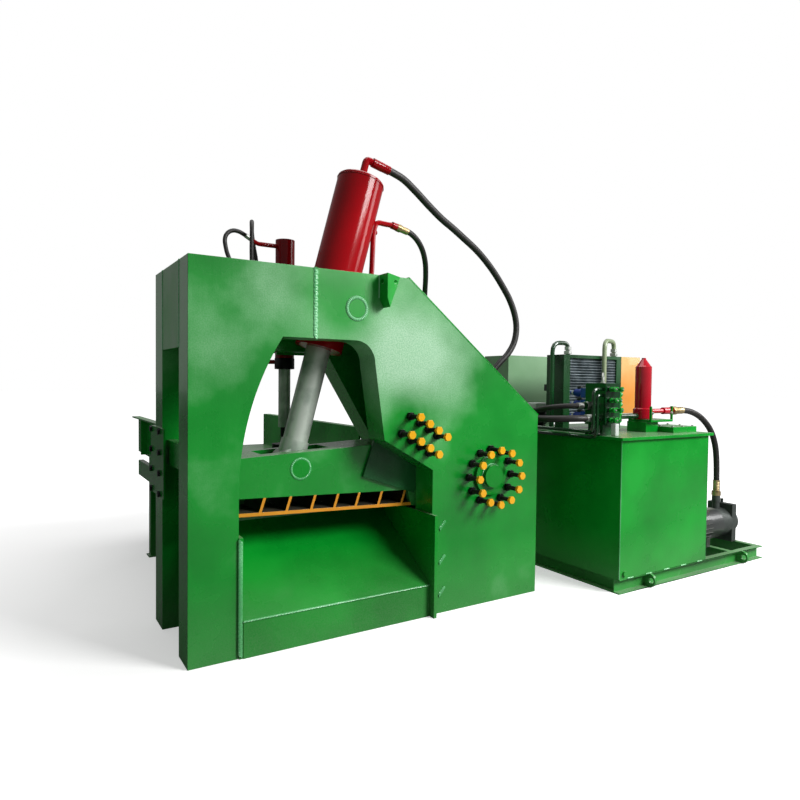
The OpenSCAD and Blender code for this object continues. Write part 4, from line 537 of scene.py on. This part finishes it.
CLAMP_ROUTE_A = [(0.720, 1.050, 2.764), (0.704, 1.050, 2.773), (0.666, 1.050, 2.793), (0.628, 1.050, 2.809),
                 (0.586, 1.050, 2.813), (0.550, 1.049, 2.798), (0.525, 1.046, 2.768), (0.515, 1.040, 2.730),
                 (0.517, 1.032, 2.690), (0.524, 1.020, 2.640), (0.536, 1.002, 2.590), (0.545, 0.976, 2.525),
                 (0.550, 0.955, 2.460), (0.550, 0.955, 2.410), (0.550, 0.955, 2.360)]
CLAMP_ROUTE_B = [(0.696, 0.955, 2.360), (0.696, 0.955, 2.450), (0.695, 0.956, 2.560), (0.694, 0.958, 2.670),
                 (0.697, 0.965, 2.760), (0.704, 0.985, 2.835), (0.718, 1.025, 2.887), (0.738, 1.090, 2.905),
                 (0.760, 1.155, 2.885), (0.780, 1.201, 2.832), (0.800, 1.224, 2.755), (0.822, 1.234, 2.660),
                 (0.835, 1.237, 2.560), (0.835, 1.237, 2.460), (0.835, 1.237, 2.360)]
PUMP_ROUTE = [(4.450, -0.050, 1.440), (4.560, -0.050, 1.440), (4.670, -0.050, 1.430), (4.770, -0.050, 1.405),
              (4.860, -0.050, 1.368), (4.945, -0.050, 1.315), (5.020, -0.050, 1.250), (5.080, -0.050, 1.170),
              (5.122, -0.050, 1.075), (5.145, -0.050, 0.970), (5.155, -0.050, 0.865), (5.159, -0.050, 0.765),
              (5.160, -0.050, 0.690), (5.160, -0.050, 0.620)]


def hose(node, route, radius, bends_to=None):
    """A hose of one node's route: a tube that stands for the solid. A hose on the cylinder, given bends_to,
    rides on no body and stays where it is drawn."""
    path = curve_through([spot(*p) for p in route], radius / 3)
    gone = np.concatenate([[0], np.cumsum(np.linalg.norm(np.diff(path, axis=0), axis=1))])
    sides = 24
    angle = np.linspace(0, 2 * np.pi, sides, endpoint=False)
    winding = np.stack([*np.broadcast_arrays(np.cos(angle), np.sin(angle), gone[:, None])], axis=-1)
    piece = make(node + "_cover", [lofted(tube(path, radius, sides))], HOSE_RUBBER,
                 None if bends_to else "frame", winding=winding.astype(np.float32))
    if bends_to:
        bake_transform(piece)
    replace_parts(piece, node)


def hoses():
    """The cylinder's two hoses, which hang still, the hold-down's two and the pump's."""
    hose("main_hose", MAIN_ROUTE, WIDE_HOSE, bends_to=(3.110, 0.705, 2.060))
    hose("return_hose", RETURN_ROUTE, MIDDLE_HOSE, bends_to=(2.510, 1.050, 1.770))
    hose("clamp_hose_a", CLAMP_ROUTE_A, NARROW_HOSE)
    hose("clamp_hose_b", CLAMP_ROUTE_B, NARROW_HOSE)
    hose("pump_hose", PUMP_ROUTE, WIDE_HOSE)


hoses()


def crimped(route, radius, length, end=0):
    """A crimped sleeve over a hose's first end, or its last with end=1: a turned wall with six shallow
    bites of the crimping tool round it."""
    first, second = (spot(*point) for point in (route[:2], route[:-3:-1])[end])
    axis = unit(second - first)
    wall = radius * 1.17
    profile = [(0, radius * 1.02), (0.002, wall)]
    for i in range(6):
        at = 0.012 + i * (length - 0.02) / 6
        profile += [(at, wall), (at + 0.003, wall * 0.955), (at + 0.006, wall)]
    profile += [(length - 0.002, wall), (length, radius * 1.02)]
    return turned(first, axis, profile, 40)


def hose_ends():
    """Sleeves at every hose end: brass on the pump hose and the return hose's upper end, painted red at
    the cylinder's cap and zinc plated elsewhere. Brass nuts hold the three brass ends."""
    make("main_hose_upper_sleeve", [crimped(MAIN_ROUTE, WIDE_HOSE, 0.06)], RED, "barrel")
    make("return_hose_upper_sleeve", [crimped(RETURN_ROUTE, MIDDLE_HOSE, 0.07)], BRASS, "barrel")
    make("hose_lower_sleeves", [crimped(MAIN_ROUTE, WIDE_HOSE, 0.07, end=1),
                                crimped(RETURN_ROUTE, MIDDLE_HOSE, 0.065, end=1)],
         ZINC, "frame")
    make("pump_hose_sleeves", [crimped(PUMP_ROUTE, WIDE_HOSE, 0.11, end=e) for e in (0, 1)],
         BRASS, "frame")
    make("clamp_hose_sleeves", [crimped(r, NARROW_HOSE, 0.05, end=e) for r in (CLAMP_ROUTE_A, CLAMP_ROUTE_B)
                                for e in (0, 1)], ZINC, "frame")
    port = spot(*RETURN_ROUTE[0])
    make("return_hose_nut", [turned(port, unit(port - spot(*RETURN_ROUTE[1])),
                                    [(0.0005, 0.030), (0.034, 0.030), (0.036, 0.028)], 36, 0.056)],
         BRASS, "barrel")
    nuts = [turned(spot(*PUMP_ROUTE[-1]), -UP, [(0.0005, 0.042), (0.04, 0.044), (0.043, 0.040)], 36, 0.080),
            turned(spot(*PUMP_ROUTE[0]), LEFT, [(0.0005, 0.040), (0.045, 0.042), (0.048, 0.038)], 36, 0.076)]
    make("pump_hose_nuts", nuts, BRASS, "frame")


hose_ends()


# Finishes of the solids
def dress(finish, *nodes):
    """Gives CAD nodes a material."""
    for name in nodes:
        piece = frame["nodes"][name]
        piece.data.materials.clear()
        piece.data.materials.append(finish)


def eased(finish, width, *nodes):
    """Stands a copy of each node in its place, with its triangles merged into faces and its sharp
    edges eased as a grinder and two coats of paint leave them."""
    for name in nodes:
        source = frame["nodes"][name]
        form = bmesh.new()
        form.from_mesh(source.data)
        bmesh.ops.remove_doubles(form, verts=form.verts, dist=0.00002)
        bmesh.ops.dissolve_limit(form, angle_limit=math.radians(0.5), verts=form.verts, edges=form.edges)
        mesh = bpy.data.meshes.new(name + "_eased")
        form.to_mesh(mesh)
        form.free()
        mesh.shade_smooth()
        mesh.set_sharp_from_angle(angle=math.radians(35))
        mesh.materials.append(finish)
        piece = bpy.data.objects.new(name + "_eased", mesh)
        bpy.context.scene.collection.objects.link(piece)
        easing = piece.modifiers.new("easing", "BEVEL")
        easing.width, easing.segments, easing.limit_method = width, 2, "ANGLE"
        easing.angle_limit = math.radians(40)
        easing.use_clamp_overlap = True
        piece.modifiers.new("facing", "WEIGHTED_NORMAL").weight = 100
        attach(piece, source["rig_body"])
        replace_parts(piece, name)


def shade_pockets(name):
    """The ribs are painted on their outer edges only: faces that look into the pockets are painted dark,
    painted shade in the pockets.
    """
    mesh = bpy.data.objects[name].data
    # The ribs' inner faces take the dark painted shade
    mesh.materials.append(POCKET_PAINTED_SHADE)
    normals = np.empty(len(mesh.polygons) * 3)
    mesh.polygons.foreach_get("normal", normals)
    outer = np.abs(normals.reshape(-1, 3)[:, 1]) > 0.6
    mesh.polygons.foreach_set("material_index", np.where(outer, 0, 1).astype(np.int32))


def finishes():
    """Enamel on the plates, whose edges are eased, and the other solids' own finishes."""
    eased(PLATE_GREEN, 0.003, "front_frame_left", "front_frame_right", "rear_frame_left", "rear_sill",
          "rear_frame_right", "arm_side_plates")
    eased(GREEN, 0.002, "frame_webs", "slant_cover", "chute_plate", "chute_side_plates", "lifting_lugs",
          "clamp_bracket", "trough_floor", "trough_walls", "trough_legs", "fishplate", "skid", "tank_lid",
          "access_cover", "filter_bracket", "arm_inner_plates")
    eased(PAD_GREEN, 0.002, "wear_pads")
    eased(YELLOW, 0.0015, "arm_ribs")
    shade_pockets("arm_ribs_eased")
    eased(PALE_GREEN, 0.002, "control_cabinet", "cabinet_door")
    dress(GREEN, "pivot_pin", "pivot_rings", "trunnion_pins", "tank", "rod_pin", "trunnion_collar")
    # The block, its steel pipes and the cooler frame take the green darkened as painted shade
    dress(BLOCK_GREEN_PAINTED_SHADE, "manifold", "steel_pipes", "cooler_frame")
    dress(RED, "clamp_barrel", "barrel_tube", "barrel_ends", "barrel_pipes")
    dress(BOWL_RED_PAINTED_HIGHLIGHT, "line_filter")
    dress(ROD, "main_rod", "clamp_rod", "rod_eye")
    dress(BLADE, "lower_blade", "upper_blade", "fan")
    dress(BLACK_STEEL, "frame_bolts", "upper_blade_screws", "clamp_foot")
    dress(BLUE, "solenoids")
    dress(CHARCOAL, "motors")
    dress(PUMP_IRON, "pump")
    dress(BRONZE, "arm_bush")


finishes()


# Screws round the pivot and over the guide pad
SCREW_OUT = 0.150
HEAD_HEIGHT = 0.022
NUT_HEIGHT = 0.028
SCREW_RADIUS = 0.017
SCREW_FLATS = 0.054
SCREW_CIRCLE = 0.2035
ROW_STARTS = ((1.511, 1.443), (1.440, 1.324))
ROW_STEP = np.array([0.076, -0.048])


def screw_places():
    """The two rows over the guide pad, and the circle of twelve round the pivot."""
    rows = [np.array(first) + i * ROW_STEP for first in ROW_STARTS for i in range(4)]
    turn = np.arange(12) * np.pi / 6
    circle = np.array(PIVOT) + SCREW_CIRCLE * np.stack([np.cos(turn), np.sin(turn)], axis=1)
    return rows + list(circle)


def screws():
    """Yellow domed heads, black lock nuts, and greased threads between them and into the plate. The
    threads' pitch is drawn at 6 mm, where a real one has 4 mm, so that it shows."""
    heads, nuts, threads = [], [], []
    inside = 0.05
    rim = SCREW_FLATS / 2 / math.cos(math.pi / 6)
    hexagon = [(0, rim * 0.9), (0.004, rim), (NUT_HEIGHT - 0.004, rim), (NUT_HEIGHT, rim * 0.86)]
    for x, z in screw_places():
        heads += bolt(spot(x, -SCREW_OUT + HEAD_HEIGHT, z), FRONT, SCREW_FLATS, HEAD_HEIGHT)
        threads.append(thread(spot(x, inside, z), FRONT, SCREW_RADIUS, 0.0022, 0.006,
                              inside + SCREW_OUT - HEAD_HEIGHT))
        nuts.append(turned(spot(x, -0.0002, z), FRONT, hexagon, 24, SCREW_FLATS))
    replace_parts(make("screw_heads", heads, SCREW_YELLOW, smooth=25), "adjusting_screws")
    make("screw_threads", threads, THREAD, smooth=60)
    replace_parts(make("lock_nut_hexagons", nuts, BLACK_STEEL, smooth=25), "lock_nuts")


screws()


# Welds
def frame_welds():
    """Beads on the frame plates' joints, along the chute's edges and beside the lugs, rings round the
    pins, and slanted and upright stitches at the chute's right edge."""
    front, rear = 0.0, DEPTH
    shapes = [
        bead(spot(SEAM, front, 1.955), spot(SEAM, front, FRAME_TOP - 0.004), FRONT, 0.030, 0.007, 0.034),
        bead(spot(SEAM, rear, 1.900), spot(SEAM, rear, FRAME_TOP - 0.004), REAR, 0.030, 0.007, 0.034),
        bead(spot(SEAM, 0.004, FRAME_TOP), spot(SEAM, 0.216, FRAME_TOP), UP, 0.026, 0.005, 0.030),
        bead(spot(SEAM, 0.699, FRAME_TOP), spot(SEAM, rear - 0.004, FRAME_TOP), UP, 0.026, 0.005, 0.030),
        bead(spot(0.307, -0.0105, 0.018), spot(0.307, -0.0105, 0.722), FRONT, 0.032, 0.004, 0.026),
        bead(spot(0.326, -0.0155, 0.228), spot(1.686, -0.0155, 0.228), unit(FRONT + UP), 0.016, 0.002),
        bead(spot(0.0, 0.222, 1.880), spot(0.0, 0.222, 2.396), LEFT, 0.020, 0.004, 0.024),
        bead(spot(0.0, 0.693, 1.880), spot(0.0, 0.693, 2.396), LEFT, 0.020, 0.004, 0.024),
        ring_bead(spot(TRUNNION[0], front, TRUNNION[1]), FRONT, 0.072, 0.030),
        ring_bead(spot(TRUNNION[0], front, TRUNNION[1]), FRONT, 0.040, 0.012),
        ring_bead(spot(TRUNNION[0], rear, TRUNNION[1]), REAR, 0.066, 0.022),
        ring_bead(spot(PIVOT[0], -0.026, PIVOT[1]), FRONT, 0.089, 0.020),
        ring_bead(spot(PIVOT[0], rear + 0.025, PIVOT[1]), REAR, 0.088, 0.014),
    ]
    for up in (0.646, 0.395, 0.160):
        shapes += [bead(spot(1.778, -0.001, up - 0.030), spot(1.828, -0.001, up + 0.028), FRONT,
                        0.028, 0.005),
                   bead(spot(1.7165, -0.002, up - 0.030), spot(1.7165, -0.002, up + 0.030),
                        unit(RIGHT + FRONT), 0.026, 0.003, 0.018)]
    for face, out in ((front, FRONT), (rear, REAR)):
        shapes.append(bead(spot(1.2535, face, 2.245), spot(1.2535, face, 2.396), unit(out + LEFT),
                           0.016, 0.002))
    make("frame_welds", shapes, WELD_GREEN_PAINTED_HIGHLIGHT, smooth=80)


def arm_welds():
    """A ring round each end of the rod pin, on the arm's side plates."""
    make("arm_welds", [ring_bead(spot(ROD_PIN[0], 0.244, ROD_PIN[1]), FRONT, 0.068, 0.022),
                       ring_bead(spot(ROD_PIN[0], 0.615, ROD_PIN[1]), REAR, 0.070, 0.020)],
         WELD_GREEN_PAINTED_HIGHLIGHT, "arm", smooth=80)


def tank_welds():
    """Seams on the tank's two front corners, and five short welds along its foot."""
    a, b = low("tank"), high("tank")
    front = CORNER[1] - 0.410
    shapes = [bead((a[0] + 0.001, front + 0.001, 0.125), (a[0] + 0.001, front + 0.001, b[2] - 0.002),
                   unit(FRONT + LEFT), 0.010, 0.001, 0.014),
              bead((b[0] - 0.001, front + 0.001, 0.125), (b[0] - 0.001, front + 0.001, b[2] - 0.002),
                   unit(FRONT + RIGHT), 0.010, 0.001, 0.014)]
    for i in range(5):
        x = a[0] + 0.10 + i * 0.235
        shapes.append(bead((x, front, 0.121), (x + 0.075, front, 0.121), unit(FRONT + UP),
                           0.016, 0.002, 0.016))
    make("tank_welds", shapes, WELD_GREEN_PAINTED_HIGHLIGHT, smooth=80)


def barrel_welds():
    """The seam of the cap on the red barrel, and the ring where the pipe stands on the cap."""
    centre = spot(TRUNNION[0], MID, TRUNNION[1])
    make("barrel_welds", [ring_bead(centre + 1.015 * RAM, RAM, 0.1725, 0.010),
                          ring_bead(centre + 1.040 * RAM, RAM, 0.030, 0.014)],
         RED, "barrel", smooth=80)


frame_welds()
arm_welds()
tank_welds()
barrel_welds()


# Valves, cooler, boxes and covers of the power unit
VALVE_X = 3.340
COIL_START = 0.060
RIB_PITCH = 0.0125
VALVE_ROWS = (1.405, 1.505, 1.605)


def valve_fittings():
    """The blue coils' moulded ribs, each solenoid's black end cap with a pale nut, the plug on its top
    and the four small nuts of its valve."""
    black, ribs, plated, white = [], [], [], []
    for up in VALVE_ROWS:
        for i in range(7):
            ribs.append(turned(spot(VALVE_X, COIL_START + 0.006 + i * RIB_PITCH, up), REAR,
                               [(0, 0.032), (0.001, 0.0345), (0.006, 0.0345), (0.007, 0.032)]))
        black += [turned(spot(VALVE_X, COIL_START + 0.095, up), REAR,
                         [(0, 0.030), (0.006, 0.030), (0.008, 0.027)]),
                  slab(spot(VALVE_X, COIL_START + 0.048, up + 0.044), (0.030, 0.042, 0.024), 0.004)]
        white.append(turned(spot(VALVE_X, COIL_START + 0.118, up), REAR,
                            [(0, 0.017), (0.014, 0.018), (0.016, 0.015)], 24, 0.030))
        for dx in (-0.036, 0.036):
            for dz in (-0.028, 0.028):
                plated.append(turned(spot(VALVE_X + dx, COIL_START, up + dz), REAR,
                                     [(0, 0.0065), (0.007, 0.0065), (0.008, 0.0055)], 16))
    make("coil_ribs", ribs, BLUE)
    make("coil_nuts", white, GREY_PLASTIC, smooth=25)
    make("coil_caps_and_plugs", black, BLACK_PLASTIC)
    make("valve_nuts", plated, ZINC, smooth=25)


BLOCK_FRONT = -0.2562
RING_TURN = math.radians(30)


def block_fittings():
    """Relief and check cartridges on the block's front with their locking knobs, long and short by
    turns, the outlet blocks at its right, the port nuts, the ring and collar of the lifting eye, and
    the foot bolts."""
    valves, shapes = [], []
    for row, up in enumerate((1.390, 1.470, 1.550, 1.640)):
        for column, x in enumerate((3.295, 3.360)):
            reach = 0.030 if (row + column) % 2 else 0.046
            face = spot(x, BLOCK_FRONT, up)
            valves.append(turned(face, FRONT, [(0, 0.024), (0.011, 0.024), (0.013, 0.022)], 24, 0.040))
            valves.append(turned(face, FRONT, [(0.012, 0.013), (reach, 0.013), (reach + 0.001, 0.021),
                                 (reach + 0.016, 0.021), (reach + 0.019, 0.017)], 24))
            shapes.append(turned(face, FRONT, [(reach + 0.018, 0.0085), (reach + 0.026, 0.0085),
                                 (reach + 0.028, 0.0065)], 16, 0.014))
    for up in (1.430, 1.510, 1.595):
        valves += [slab(spot(3.505, -0.150, up), (0.052, 0.052, 0.060), 0.006),
                   turned(spot(3.530, -0.150, up), RIGHT, [(0, 0.022), (0.022, 0.022), (0.026, 0.018)],
                          24, 0.040)]
    for y, z in ((-0.150, 1.400), (-0.060, 1.500)):
        shapes.append(turned(spot(3.248, y, z), LEFT,
                             [(0, 0.036), (0.003, 0.0375), (0.026, 0.0375), (0.029, 0.034)], 36, 0.068))
    angle = np.linspace(0, 2 * np.pi, 40, endpoint=False)[:, None]
    level = math.cos(RING_TURN) * RIGHT + math.sin(RING_TURN) * REAR
    ring = spot(3.340, -0.135, 1.742) + 0.030 * (np.cos(angle) * level + np.sin(angle) * UP)
    shapes += [lofted(tube(ring, 0.0066, 12, closed=True), closed=True),
               turned(spot(3.340, -0.135, 1.690), UP,
                      [(-0.001, 0.022), (0.006, 0.022), (0.010, 0.0130), (0.022, 0.0130)], 24)]
    for x in (3.237, 3.443):
        for y in (-0.190, -0.065):
            shapes += bolt(spot(x, y, 1.270), UP, 0.014, 0.008)
    make("block_cartridges", valves, GREEN, smooth=30)
    make("block_fittings", shapes, ZINC, smooth=25)


def bent(points, bend):
    """A path of straight legs whose corners are eased by quadratic curves."""
    points = [spot(*p) for p in points]
    path = [points[0]]
    for a, b, c in zip(points, points[1:], points[2:]):
        reach = min(bend, np.linalg.norm(a - b) / 2.1, np.linalg.norm(c - b) / 2.1)
        first, last = b + reach * unit(a - b), b + reach * unit(c - b)
        for u in np.linspace(0, 1, 9):
            path.append((1 - u) ** 2 * first + 2 * u * (1 - u) * b + u ** 2 * last)
    return np.array(path + [points[-1]])


def pipe_details():
    """The olive primer left on the right-hand bow over the cooler, the unions of both bows and their
    welds on the lid."""
    lid = 1.2605
    path = bent([(3.860, 0.290, lid), (3.860, 0.290, 2.090), (4.100, 0.380, 2.090), (4.100, 0.380, 1.9455)],
                0.090)
    make("primed_pipe_coat", [lofted(tube(path, 0.0207, 24))], OLIVE)
    nuts = []
    for x in (3.470, 4.100):
        for up, width in ((1.952, 0.062), (1.990, 0.052)):
            nuts.append(turned(spot(x, 0.380, up), UP,
                               [(0, 0.030), (0.003, 0.036), (0.027, 0.036), (0.030, 0.030)], 24, width))
    make("pipe_unions", nuts, ZINC, smooth=25)
    rings = [ring_bead(spot(3.275, 0.380, lid), UP, 0.023, 0.010),
             ring_bead(spot(3.860, 0.290, lid), UP, 0.024, 0.010)]
    make("pipe_welds", rings, WELD_GREEN_PAINTED_HIGHLIGHT, smooth=80)


def cooler_fins():
    """Corrugated fins between the cooler's flat tubes: in each row a sheet whose height swings to 0.36
    of the row's pitch above and below its middle, from one fold to the next across the core's width."""
    a, b = low("cooler_core"), high("cooler_core")
    rows, folds = 22, 150
    pitch = (b[2] - a[2]) / rows
    sheet = 0.0008
    front, rear = a[1] + 0.004, b[1] - 0.004
    shapes = []
    x = np.linspace(a[0] + 0.002, b[0] - 0.002, folds)
    for i in range(rows):
        zigzag = a[2] + (i + 0.5) * pitch + np.where(np.arange(folds) % 2, 0.36, -0.36) * pitch
        edges = [np.stack([x, np.full(folds, y), zigzag + dz], axis=1)
                 for y, dz in ((front, -sheet), (rear, -sheet), (rear, sheet), (front, sheet))]
        shapes.append(lofted(np.stack(edges, axis=1)))
    middle = (a + b) / 2
    tubes = [slab((middle[0], middle[1], a[2] + i * pitch), (b[0] - a[0], b[1] - a[1], 0.005), 0.0024)
             for i in range(1, rows)]
    core = make("cooler_fins", shapes, ALUMINIUM, smooth=10)
    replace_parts(core, "cooler_core")
    make("cooler_tubes", tubes, ALUMINIUM)


def covers():
    """The orange side cover, the motors' grey boxes and a small junction box on the lid."""
    make("orange_side_cover", [slab(spot(4.286, 0.3425, 1.6725), (0.293, 0.029, 0.548), 0.006)], ORANGE)
    grey = [slab(spot(3.503, 0.800, 1.455), (0.146, 0.126, 0.078), 0.010),
            slab(spot(4.693, -0.050, 0.535), (0.146, 0.126, 0.050), 0.010)]
    make("terminal_boxes", grey, GREY_PLASTIC)
    make("junction_box", [slab(spot(3.300, -0.300, 1.312), (0.046, 0.046, 0.100), 0.006)], GREY_PLASTIC)


def unit_bolts():
    """Bolts round the edge of the access cover, on the pump's plate and on the filter's bracket."""
    shapes = []
    inset = 0.025
    a, b = low("access_cover"), high("access_cover")
    for i, x in enumerate(np.linspace(a[0] + inset, b[0] - inset, 3)):
        for j, y in enumerate(np.linspace(a[1] + inset, b[1] - inset, 3)):
            if (i, j) != (1, 1):
                shapes += bolt((x, y, b[2] - 0.0002), UP, 0.019, 0.009, 0.002)
    for y in (-0.150, 0.050):
        for z in (0.165, 0.455):
            shapes += bolt(spot(5.3001, y, z), RIGHT, 0.030, 0.014)
    for x in (3.926, 4.198):
        shapes += bolt(spot(x, -0.1905, 1.430), FRONT, 0.019, 0.009, 0.002)
    make("unit_bolts", shapes, ZINC, smooth=25)


def clamp_gland():
    """The hold-down's black gland nut, a plain skirt with a bevelled foot and rim."""
    skirt = [(0, 0.060), (0.002, 0.078), (0.084, 0.078), (0.088, 0.0755)]
    make("clamp_gland_nut", [turned(spot(0.997, 1.050, 1.772), UP, skirt, 48)], BLACK_STEEL)


def door_details():
    """The cabinet door's pressed louvres, whose section is a low hood with tapered ends, its lock and
    its row of buttons, each a turned cap in a turned bezel."""
    points = np.array([corner.co[:] for corner in frame["nodes"]["cabinet_door"].data.vertices])
    a, b = low("cabinet_door"), high("cabinet_door")
    face = points[points[:, 2] > b[2] - 0.001, 1].max() + 0.0002
    hood = np.array([(-0.002, 0.0), (0.007, 0.001), (0.008, 0.004), (0.003, 0.014), (-0.002, 0.016)])
    middle = (a[0] + b[0]) / 2
    pressed = []
    for up in [*np.linspace(0.36, 0.60, 9), *np.linspace(1.68, 1.84, 6)]:
        rings = [np.stack([np.full(5, x), face + share * hood[:, 0], up + hood[:, 1]], axis=1)
                 for x, share in ((middle - 0.150, 0.05), (middle - 0.138, 1.0), (middle + 0.138, 1.0),
                                  (middle + 0.150, 0.05))]
        pressed.append(lofted(np.array(rings)))
    make("door_louvres", pressed, PALE_GREEN, "cabinet_door", smooth=30)
    keyhole = (a[0] + 0.050, face, 0.900)
    lock = [turned(keyhole, REAR, [(0, 0.017), (0.004, 0.017), (0.006, 0.014)]),
            turned(keyhole, REAR, [(0.005, 0.006), (0.009, 0.005)], 16, 0.010)]
    bezels, caps = [], ([], [], [])
    for i, x in enumerate(np.linspace(middle - 0.12, middle + 0.12, 5)):
        at = (x, face, 1.480)
        bezels.append(turned(at, REAR, [(0, 0.0165), (0.004, 0.0165), (0.006, 0.0145), (0.010, 0.0145)]))
        caps[i % 3].append(turned(at, REAR, [(0.009, 0.0115), (0.014, 0.0115), (0.017, 0.0085),
                                             (0.018, 0.003)]))
    make("door_lock", lock + bezels, ZINC, "cabinet_door", smooth=30)
    for name, shapes, finish in (("red_buttons", caps[0], BOWL_RED_PAINTED_HIGHLIGHT), ("green_buttons", caps[1], GREEN),
                                 ("yellow_buttons", caps[2], YELLOW)):
        make(name, shapes, finish, "cabinet_door", smooth=30)


valve_fittings()
block_fittings()
door_details()
pipe_details()
cooler_fins()
covers()
unit_bolts()
clamp_gland()


# Studio
FLOOR_REACH = 80.0
SKY_LIGHT = 0.16
SKY_GLOSS = 0.30
LAMP_AIM = np.array([0.4, 0.0, 1.2])
LAMPS = [("key", (4.6, -8.0, 6.8), (4.5, 3.5), 1350.0), ("side", (9.0, -4.0, 5.0), (3.0, 4.0), 260.0),
         ("top", (0.5, 1.0, 7.5), (7.0, 5.0), 220.0)]


def studio():
    """A pale floor that glows white towards the camera far out, a backdrop that is white to the camera
    and dim to the rest, and three soft lamps."""
    floor = bpy.data.objects.new("floor", bpy.data.meshes.new("floor"))
    corners = [(x * FLOOR_REACH, y * FLOOR_REACH, 0) for x, y in ((-1, -1), (1, -1), (1, 1), (-1, 1))]
    floor.data.from_pydata(corners, [], [(0, 1, 2, 3)])
    bpy.context.scene.collection.objects.link(floor)
    material, tree, shader, place = start("studio_floor")
    seen = add(tree, "ShaderNodeLightPath").outputs["Is Camera Ray"]
    grain = add(tree, "ShaderNodeTexNoise", [("Vector", place), ("Scale", 3.0)])
    tone = add(tree, "ShaderNodeMix", [(0, grain.outputs[0]), (6, linear("e8e8e7")), (7, linear("ededed"))],
               data_type="RGBA")
    shown = add(tree, "ShaderNodeMix", [(0, seen), (6, linear("8c8c8c")), (7, tone.outputs[2])],
                data_type="RGBA")
    far = add(tree, "ShaderNodeVectorMath", [(0, place)], operation="LENGTH")
    glow = add(tree, "ShaderNodeMapRange", [("Value", far.outputs["Value"]), ("From Min", 3.0),
               ("From Max", 8.0), ("To Min", 0.45), ("To Max", 1.0)])
    lit = add(tree, "ShaderNodeMath", [(0, glow.outputs[0]), (1, seen)], operation="MULTIPLY")
    join(tree, shader, [("Base Color", shown.outputs[2]), ("Emission Strength", lit.outputs[0]),
                        ("Emission Color", (1, 1, 1, 1)), ("Roughness", 0.9), ("Specular IOR Level", 0.0)])
    floor.data.materials.append(material)
    world = bpy.data.worlds.new("studio")
    bpy.context.scene.world = world
    world.use_nodes = True
    sky = world.node_tree
    path = add(sky, "ShaderNodeLightPath")
    direct = add(sky, "ShaderNodeMath", [(0, path.outputs["Is Camera Ray"]),
                 (1, path.outputs["Is Transmission Ray"])], operation="MAXIMUM")
    mirrored = add(sky, "ShaderNodeMapRange", [("Value", path.outputs["Is Glossy Ray"]),
                   ("To Min", SKY_LIGHT), ("To Max", SKY_GLOSS)])
    strength = add(sky, "ShaderNodeMath", [(0, direct.outputs[0]), (1, mirrored.outputs[0])],
                   operation="MAXIMUM")
    join(sky, sky.nodes["Background"], [("Strength", strength.outputs[0]), ("Color", (1, 1, 1, 1))])
    for name, at, size, power in LAMPS:
        lamp = bpy.data.objects.new(name, bpy.data.lights.new(name, "AREA"))
        lamp.data.shape, lamp.data.size, lamp.data.size_y, lamp.data.energy = "RECTANGLE", *size, power
        aim = unit(LAMP_AIM - np.array(at))
        first, second = across(-aim)
        turn = np.eye(4)
        turn[:3, 0], turn[:3, 1], turn[:3, 2], turn[:3, 3] = first, second, -aim, at
        lamp.matrix_world = Matrix(turn.tolist())
        bpy.context.scene.collection.objects.link(lamp)
    bpy.context.scene.view_settings.view_transform = "Standard"


studio()
